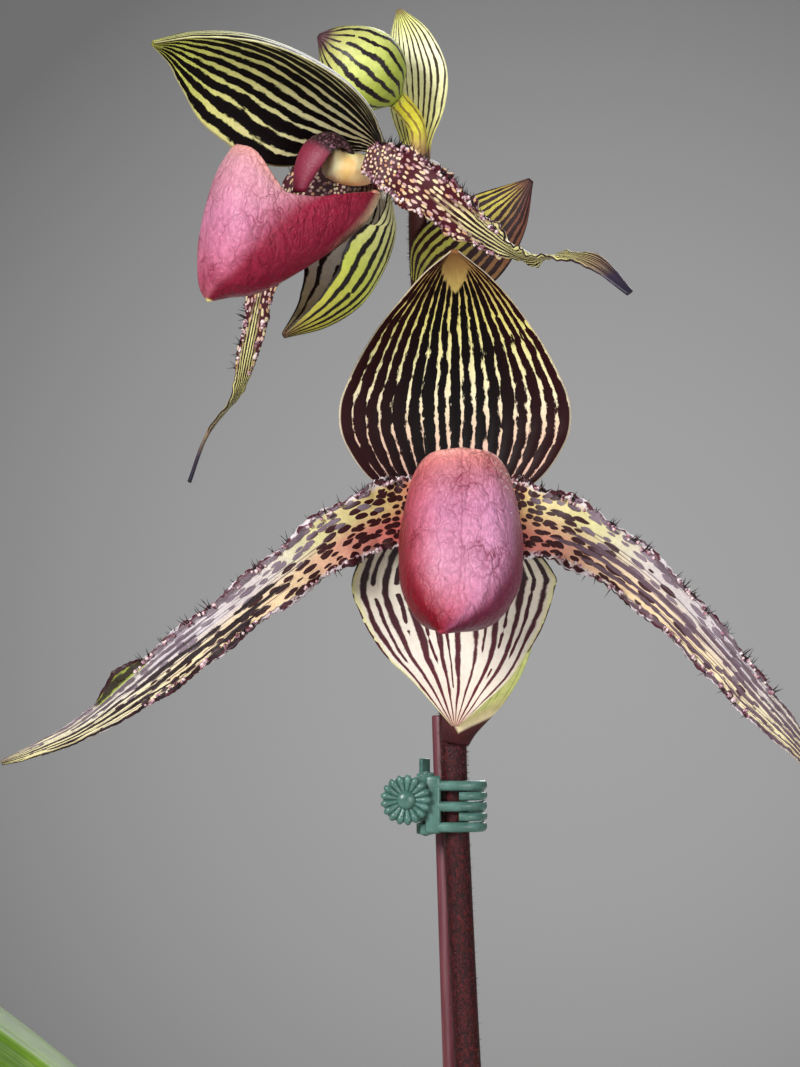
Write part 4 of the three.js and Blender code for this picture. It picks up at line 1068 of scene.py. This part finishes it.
def daisy():
    part = bmesh.new()
    bmesh.ops.create_cone(part, cap_ends=True, segments=68, radius1=5.0, radius2=4.9, depth=1.0,
                          matrix=Matrix.Translation((0, -0.5, 0)) @ Matrix.Rotation(math.pi / 2, 4, "X"))
    for i in range(17):
        around = Matrix.Rotation(2 * math.pi * i / 17, 4, "Y")
        tip = around @ Matrix.Translation((4.25, -1.0, 0)) @ Matrix.Diagonal((1.3, 0.85, 0.84, 1))
        bmesh.ops.create_uvsphere(part, u_segments=16, v_segments=10, radius=1, matrix=tip)
        ridge = around @ Matrix.Translation((2.9, -1.05, 0)) @ Matrix.Rotation(math.pi / 2, 4, "Y")
        bmesh.ops.create_cone(part, cap_ends=True, segments=14, radius1=0.32, radius2=0.78, depth=2.8, matrix=ridge)
    dome = Matrix.Translation((0, -1.4, 0)) @ Matrix.Diagonal((2.1, 1.2, 2.1, 1))
    bmesh.ops.create_uvsphere(part, u_segments=24, v_segments=14, radius=1, matrix=dome)
    return part


# %% Front jaw with its daisy
front_fingers = [[2.2, -4.4], [6.4, -4.7], [10.2, -3.9], [12.4, -1.4], [12.6, 1.8]]
parts = [bar(front_fingers, z, 1.5, 2.2) for z in (-4.9, -0.4, 4.1)]
parts += [block(1.6, -4.3, 0, (3.4, 1.5, 12.6), -7, 0.7), block(-4, -4.6, 1, (8.4, 1.3, 7.2), 8)]
parts += [hub(4.2, 6.6), hub(-6.6, -4.2), block(0, -2.9, 5.4, (2.4, 2.6, 2.4)), block(0, -2.9, -5.4, (2.4, 2.6, 2.4))]
flower = daisy()
bmesh.ops.transform(flower, matrix=Matrix.Translation((-4.3, -5.0, 1.1)), verts=flower.verts)
finish_piece("clip_front_jaw_skin", join(parts + [flower]), [teal], ["clip_front_jaw"], "front_jaw",
             hinge, sharp=60)

# %% Back jaw and spring
back_fingers = [[3.4, 8], [7.4, 7.6], [11.2, 5.6], [12.7, 1.8], [12.2, -2.6], [9.6, -4.6], [7.2, -4.6]]
parts = [bar(back_fingers, z, 1.4, 1.9) for z in (-2.65, 1.85)]
parts += [block(1.4, 6.9, 0, (5.6, 1.4, 13.2), 24), block(-4.3, 6.4, 1, (7.6, 1.3, 7.2), -12)]
parts += [hub(2.1, 3.9), hub(-3.9, -2.1), hub(-7, 7, 0.7)]
parts += [block(-0.7, 3.7, z, (1.8, 4.4, 1.8)) for z in (3, -3)] + [block(-0.2, 6.3, 7.6, (2.4, 1.2, 4), 35)]
finish_piece("clip_back_jaw_skin", join(parts), [teal], ["clip_back_jaw"], "plant", hinge, sharp=60)

coil = [[1.32 * math.cos(t / 12 * 2 * math.pi), 1.32 * math.sin(t / 12 * 2 * math.pi), -0.66 + 1.32 * t / 36, 0.2]
        for t in range(37)]
finish_piece("clip_spring_wire", stalk(coil, 10, 144, side=Vector((0, 0, 1))), [spring_wire],
             ["clip_spring"], "plant", hinge)

# %% [markdown]
# Strap leaves fold along their midrib. Their skin is glossy green with fine parallel veins,
# lighter along the edges.

# %% Strap leaves and crown
def leaf_skin():
    add, wear = start_material("leaf_glossy", Roughness=0.5, Specular_IOR_Level=0.2, Coat_Weight=0.02,
                               Coat_Roughness=0.3)
    share = add("SeparateXYZ", add("UVMap", uv_map="share")).node.outputs
    flat = add("SeparateXYZ", add("UVMap", uv_map="flat")).node.outputs
    # Fine veins lie 0.9 mm apart, and a coarser cloud of light and dark green is 12 mm wide.
    rows = add("CombineXYZ", add("DIVIDE", flat["X"], 0.9), add("DIVIDE", flat["Y"], 40.0), 0.0)
    fine = add("TexNoise", Vector=rows, Scale=1.0, Detail=2.0)
    cloud = add("TexNoise", Vector=add("UVMap", uv_map="flat"), Scale=1 / 12, Detail=3.0)
    color = fade(add, cloud, [(0.3, "#46621c"), (0.5, "#587a20"), (0.7, "#749230")])
    value = add("MapRange", fine, 0.3, 0.7, 0.86, 1.12)
    color = add("HueSaturation", Color=color, Value=value)
    out = spread_out(add, share["X"])
    color = add("Mix", add("MapRange", out, 0.44, 0.49), color, "#a8c468")
    groove = add("MapRange", out, 0.0, 0.02, 0.6, 0.0)
    color = add("Mix", groove, color, "#8fb05a")
    return wear(color, bump(add, fine, 0.25, 0.5))


def crown_skin():
    add, wear = start_material("crown_pale", Roughness=0.5)
    place = add("Mapping", add("TexCoord", out="Object"), Scale=(1000 / 1.2, 1000 / 1.2, 1000 / 20.0))
    fibre = add("TexNoise", Vector=place, Scale=1.0, Detail=4.0)
    height = add("SeparateXYZ", add("TexCoord", out="Object")).node.outputs["Z"]
    color = fade(add, add("MapRange", height, 0.105, 0.15), [(0.0, "#8c6a4c"), (0.25, "#a89a6a"), (1.0, "#88a04e")])
    value = add("MapRange", fibre, 0.3, 0.7, 0.8, 1.15)
    return wear(add("HueSaturation", Color=color, Value=value), bump(add, fibre, 0.4, 0.6))


leaf_material = leaf_skin()
crown_material = crown_skin()
leaf_rows = [
    [[-8.8, -4, 119, 6.5], [-30, -6, 144, 15], [-65, -10, 164, 20], [-108, -14, 170, 21], [-150, -18, 158, 18],
     [-182, -20, 138, 11], [-198, -20, 124, 1]],
    [[18.7, -4, 121.5, 6.5], [42, -1, 144, 15], [76, 3, 158, 20], [116, 7, 158, 20], [152, 10, 142, 16],
     [178, 12, 122, 9], [190, 12, 108, 1]],
    [[-8.6, -4, 127.5, 6.5], [-28, -1, 158, 15], [-58, 3, 192, 20], [-98, 8, 212, 21], [-140, 12, 213, 18],
     [-172, 14, 202, 11], [-190, 15, 192, 1]],
    [[18.5, -4, 130.5, 6.5], [38, -7, 163, 15], [66, -12, 195, 20], [104, -17, 211, 21], [144, -21, 209, 17],
     [174, -23, 195, 10], [190, -23, 184, 1]],
    [[-8, -4, 136, 6.5, 0], [-24, -5, 172, 14, -4], [-49, -4, 212, 19, -10], [-84, 0, 243, 20, -20],
     [-119, 4, 268, 18, -24], [-150, 7, 288, 11, -16], [-172, 8, 292, 1, -8]],
    [[17.6, -4, 138.5, 6.5], [32, -2, 176, 14], [54, 2, 212, 18], [86, 6, 238, 19], [122, 9, 252, 16],
     [154, 11, 254, 10], [174, 12, 250, 1]],
    [[-6.4, -4, 144.5, 5], [-16, -6, 170, 10], [-28, -9, 200, 12], [-42, -12, 228, 8], [-52, -14, 245, 1]],
    [[15.9, -4, 146.5, 4.6], [22, -5, 168, 9], [31, -6, 192, 10], [42, -8, 214, 7], [51, -9, 228, 1]]]


def midrib(sideways, v):
    # The midrib is a narrow fold, and the edges roll a little.
    return 0, -0.9 * math.exp(-(sideways / 0.05) ** 2) * math.sin(math.pi * min(1, v * 1.05))


for number, rows in enumerate(leaf_rows, start=1):
    side = Vector((0, -1 if rows[1][0] < 0 else 1, 0))
    bm = thicken(sheet(rows, side, 48, 72, cup=0.28, extra=midrib), LEAF_MM, 0)
    finish_piece(f"leaf_{number}_skin", bm, [leaf_material], [f"leaf_{number}"])

crown_rows = [[5, -4, z, 13 * part] for z, part in
              ((75, 1), (94, 1), (113, 1), (132, 0.96), (143, 0.84), (150, 0.6))]
crown = stalk(crown_rows, 64, 60, flat=8.5 / 13,
              relief=lambda u, t: -0.5 * abs(math.sin(6 * math.pi * u)) ** 6 * math.sin(math.pi * t))
finish_piece("leaf_base_skin", crown, [crown_material], ["leaf_base"])

# %% [markdown]
# The pot is plain fired clay. Its profile is drawn once and spun round. The drainage holes
# under the solid model's pot aren't cut in this skin. Clay is matt, slightly mottled and
# has fine rings from the wheel, with a pale bloom of lime.

# %% Clay pot
def clay():
    add, wear = start_material("clay_fired", Roughness=0.85)
    place = add("TexCoord", out="Object")
    height = add("SeparateXYZ", place).node.outputs["Z"]
    cloud = add("TexNoise", Vector=place, Scale=25.0, Detail=5.0, Roughness=0.6)
    color = fade(add, cloud, [(0.3, "#9c5236"), (0.5, "#b5653f"), (0.7, "#c47c58")])
    bloom = add("TexNoise", Vector=place, Scale=60.0, Detail=6.0, Roughness=0.7)
    low = add("MapRange", height, 0.0, 0.08, 0.5, 0.15)
    chalk = add("MULTIPLY", add("MapRange", bloom, 0.52, 0.7), low)
    color = add("Mix", chalk, color, "#d9bfa8")
    # Turning rings are 1.4 mm apart.
    rings = add("TexNoise", W=add("MULTIPLY", height, 1000 / 1.4), Scale=1.0, noise_dimensions="1D")
    grit = add("TexNoise", Vector=place, Scale=1500.0, Detail=2.0)
    return wear(color, bump(add, grit, 0.15, 0.5, bump(add, rings, 0.2, 0.35)))


clay_material = clay()
pot_profile = [
    (0, 0), (46, 0), (48, 2), (64.5, 103), (69, 103.6), (70, 106), (70, 122), (68, 125), (65, 125), (62.7, 123),
    (44.4, 9), (42.1, 7), (0, 7)]
pot = bmesh.new()
corners = [pot.verts.new((r, 0, z)) for r, z in pot_profile]
line = [pot.edges.new(pair) for pair in zip(corners, corners[1:])]
bmesh.ops.spin(pot, geom=corners + line, cent=(0, 0, 0), axis=(0, 0, 1), angle=2 * math.pi, steps=128,
               use_merge=True)
bmesh.ops.remove_doubles(pot, verts=pot.verts, dist=1e-3)
bmesh.ops.recalc_face_normals(pot, faces=pot.faces)
finish_piece("pot_skin", pot, [clay_material], ["pot"], sharp=40)

# %% [markdown]
# The growing medium is fir bark. A few hundred chips, each a bevelled block, lie at all
# angles on a bed. Every chip has only a few dozen faces.

# %% Bark growing medium
def bark():
    add, wear = start_material("bark_fir", Roughness=0.9)
    place = add("TexCoord", out="Object")
    tone = add("TexNoise", Vector=place, Scale=90.0, Detail=2.0)
    fibre = add("TexNoise", Vector=add("Mapping", place, Scale=(1000 / 0.7, 1000 / 5, 1000 / 0.7)), Scale=1.0,
                Detail=4.0)
    color = fade(add, tone, [(0.3, "#4a3020"), (0.48, "#6e4a30"), (0.6, "#8a6444"), (0.75, "#a58560")])
    value = add("MapRange", fibre, 0.3, 0.7, 0.7, 1.2)
    return wear(add("HueSaturation", Color=color, Value=value), bump(add, fibre, 0.6, 0.8))


bark_material = bark()
draw = random.Random(11)
bed = bmesh.new()
bmesh.ops.create_cone(bed, cap_ends=True, segments=64, radius1=44, radius2=59.5, depth=100,
                      matrix=Matrix.Translation((0, 0, 57.6)))
chips = [bed]
for _ in range(330):
    size = (draw.uniform(8, 16), draw.uniform(5, 11), draw.uniform(2, 4.5))
    ring = 54 * math.sqrt(draw.uniform(0.0, 1))
    turn = draw.uniform(0, 2 * math.pi)
    x, y = ring * math.cos(turn), ring * math.sin(turn)
    if ((x - 5) / 17) ** 2 + ((y + 4) / 13) ** 2 < 1:
        continue
    chip = bmesh.new()
    matrix = Matrix.Translation((x, y, 107.4 + draw.uniform(-1, 2.4)))
    for axis, limit in (("X", 0.45), ("Y", 0.45), ("Z", 3.1)):
        matrix = matrix @ Matrix.Rotation(draw.uniform(-limit, limit), 4, axis)
    bmesh.ops.create_cube(chip, size=1, matrix=matrix @ Matrix.Diagonal((*size, 1)))
    for vert in chip.verts:
        vert.co += Vector([draw.uniform(-0.9, 0.9) for _ in range(3)])
    bmesh.ops.bevel(chip, geom=chip.edges, offset=0.5, segments=1, profile=0.5, affect="EDGES", material=-1)
    chips.append(chip)
finish_piece("growing_medium_skin", join(chips), [bark_material], ["growing_medium"], sharp=30)

# %% [markdown]
# The plant stands on a plain pale disc. The light is soft, from the upper left in front,
# with a weak fill from the right and a rim light behind.

# %% Floor, world and lights
floor_mesh = bmesh.new()
bmesh.ops.create_circle(floor_mesh, cap_ends=True, segments=128, radius=2.5, matrix=Matrix.Translation((0, 0, -0.001)))
mesh = bpy.data.meshes.new("floor")
floor_mesh.to_mesh(mesh)
floor_mesh.free()
mesh.materials.append(speckled("floor_paper_pale", {"Scale": 6.0, "Detail": 3.0}, [
    (0.3, "#c9c8c6"), (0.7, "#cfcecc")], Roughness=0.8))
floor = bpy.data.objects.new("floor", mesh)
bpy.context.collection.objects.link(floor)

world = bpy.data.worlds.new("studio")
bpy.context.scene.world = world
world.use_nodes = True
tree = world.node_tree
tree.nodes.clear()
add = node_adder(tree)
# The camera sees a wall with a painted pool of light round the plant's middle and painted shade towards the corners,
# and the plant gets even light.
shifted = add("VectorMath", add("TexCoord", out="Generated"), (-0.03, 0, 0.02))
split = add("SeparateXYZ", shifted).node.outputs
away = add("MULTIPLY_ADD", split["Z"], split["Z"], add("MULTIPLY", split["X"], split["X"]))
backdrop_painted_light = add("Background", fade(add, away, [(0.0, "#a3a3a3"), (0.02, "#6e6e6e")]))
even = add("Background", "#f4f4f6", 0.24)
wall = add("MixShader", add("LightPath", out="Is Camera Ray"), even, backdrop_painted_light)
tree.links.new(wall, tree.nodes.new("ShaderNodeOutputWorld").inputs[0])


def softbox(name, place, aim, width, power):
    lamp = bpy.data.lights.new(name, "AREA")
    lamp.shape = "DISK"
    lamp.size = width
    lamp.energy = power
    box = bpy.data.objects.new(name, lamp)
    box.location = place
    box.rotation_euler = (Vector(aim) - Vector(place)).to_track_quat("-Z", "Y").to_euler()
    box.visible_camera = False
    bpy.context.collection.objects.link(box)


softbox("key", (-0.9, -1.3, 1.1), (0, 0, 0.4), 0.6, 34)
softbox("fill", (0.9, -1.4, 0.5), (0, 0, 0.4), 0.7, 10)
softbox("rim", (0.5, 1.4, 1.2), (0, 0, 0.4), 0.9, 14)

# %% [markdown]
# The camera stands level with the front flower, 1.2 m away, with a long lens so that the
# petals keep their proportions.

# %% Camera
camera = bpy.data.objects.new("camera", bpy.data.cameras.new("camera"))
bpy.context.collection.objects.link(camera)
camera.location = (-0.01478, -1.2, 0.36598)
camera.rotation_euler = (math.pi / 2, 0, 0)
camera.data.sensor_width = 36
# The photograph's height, 1067 pixels, spans 232 mm at the stem.
camera.data.lens = 18 / (0.116 / 1.2)
camera.data.clip_start = 0.05
bpy.context.scene.camera = camera
bpy.context.scene.view_settings.view_transform = "Standard"
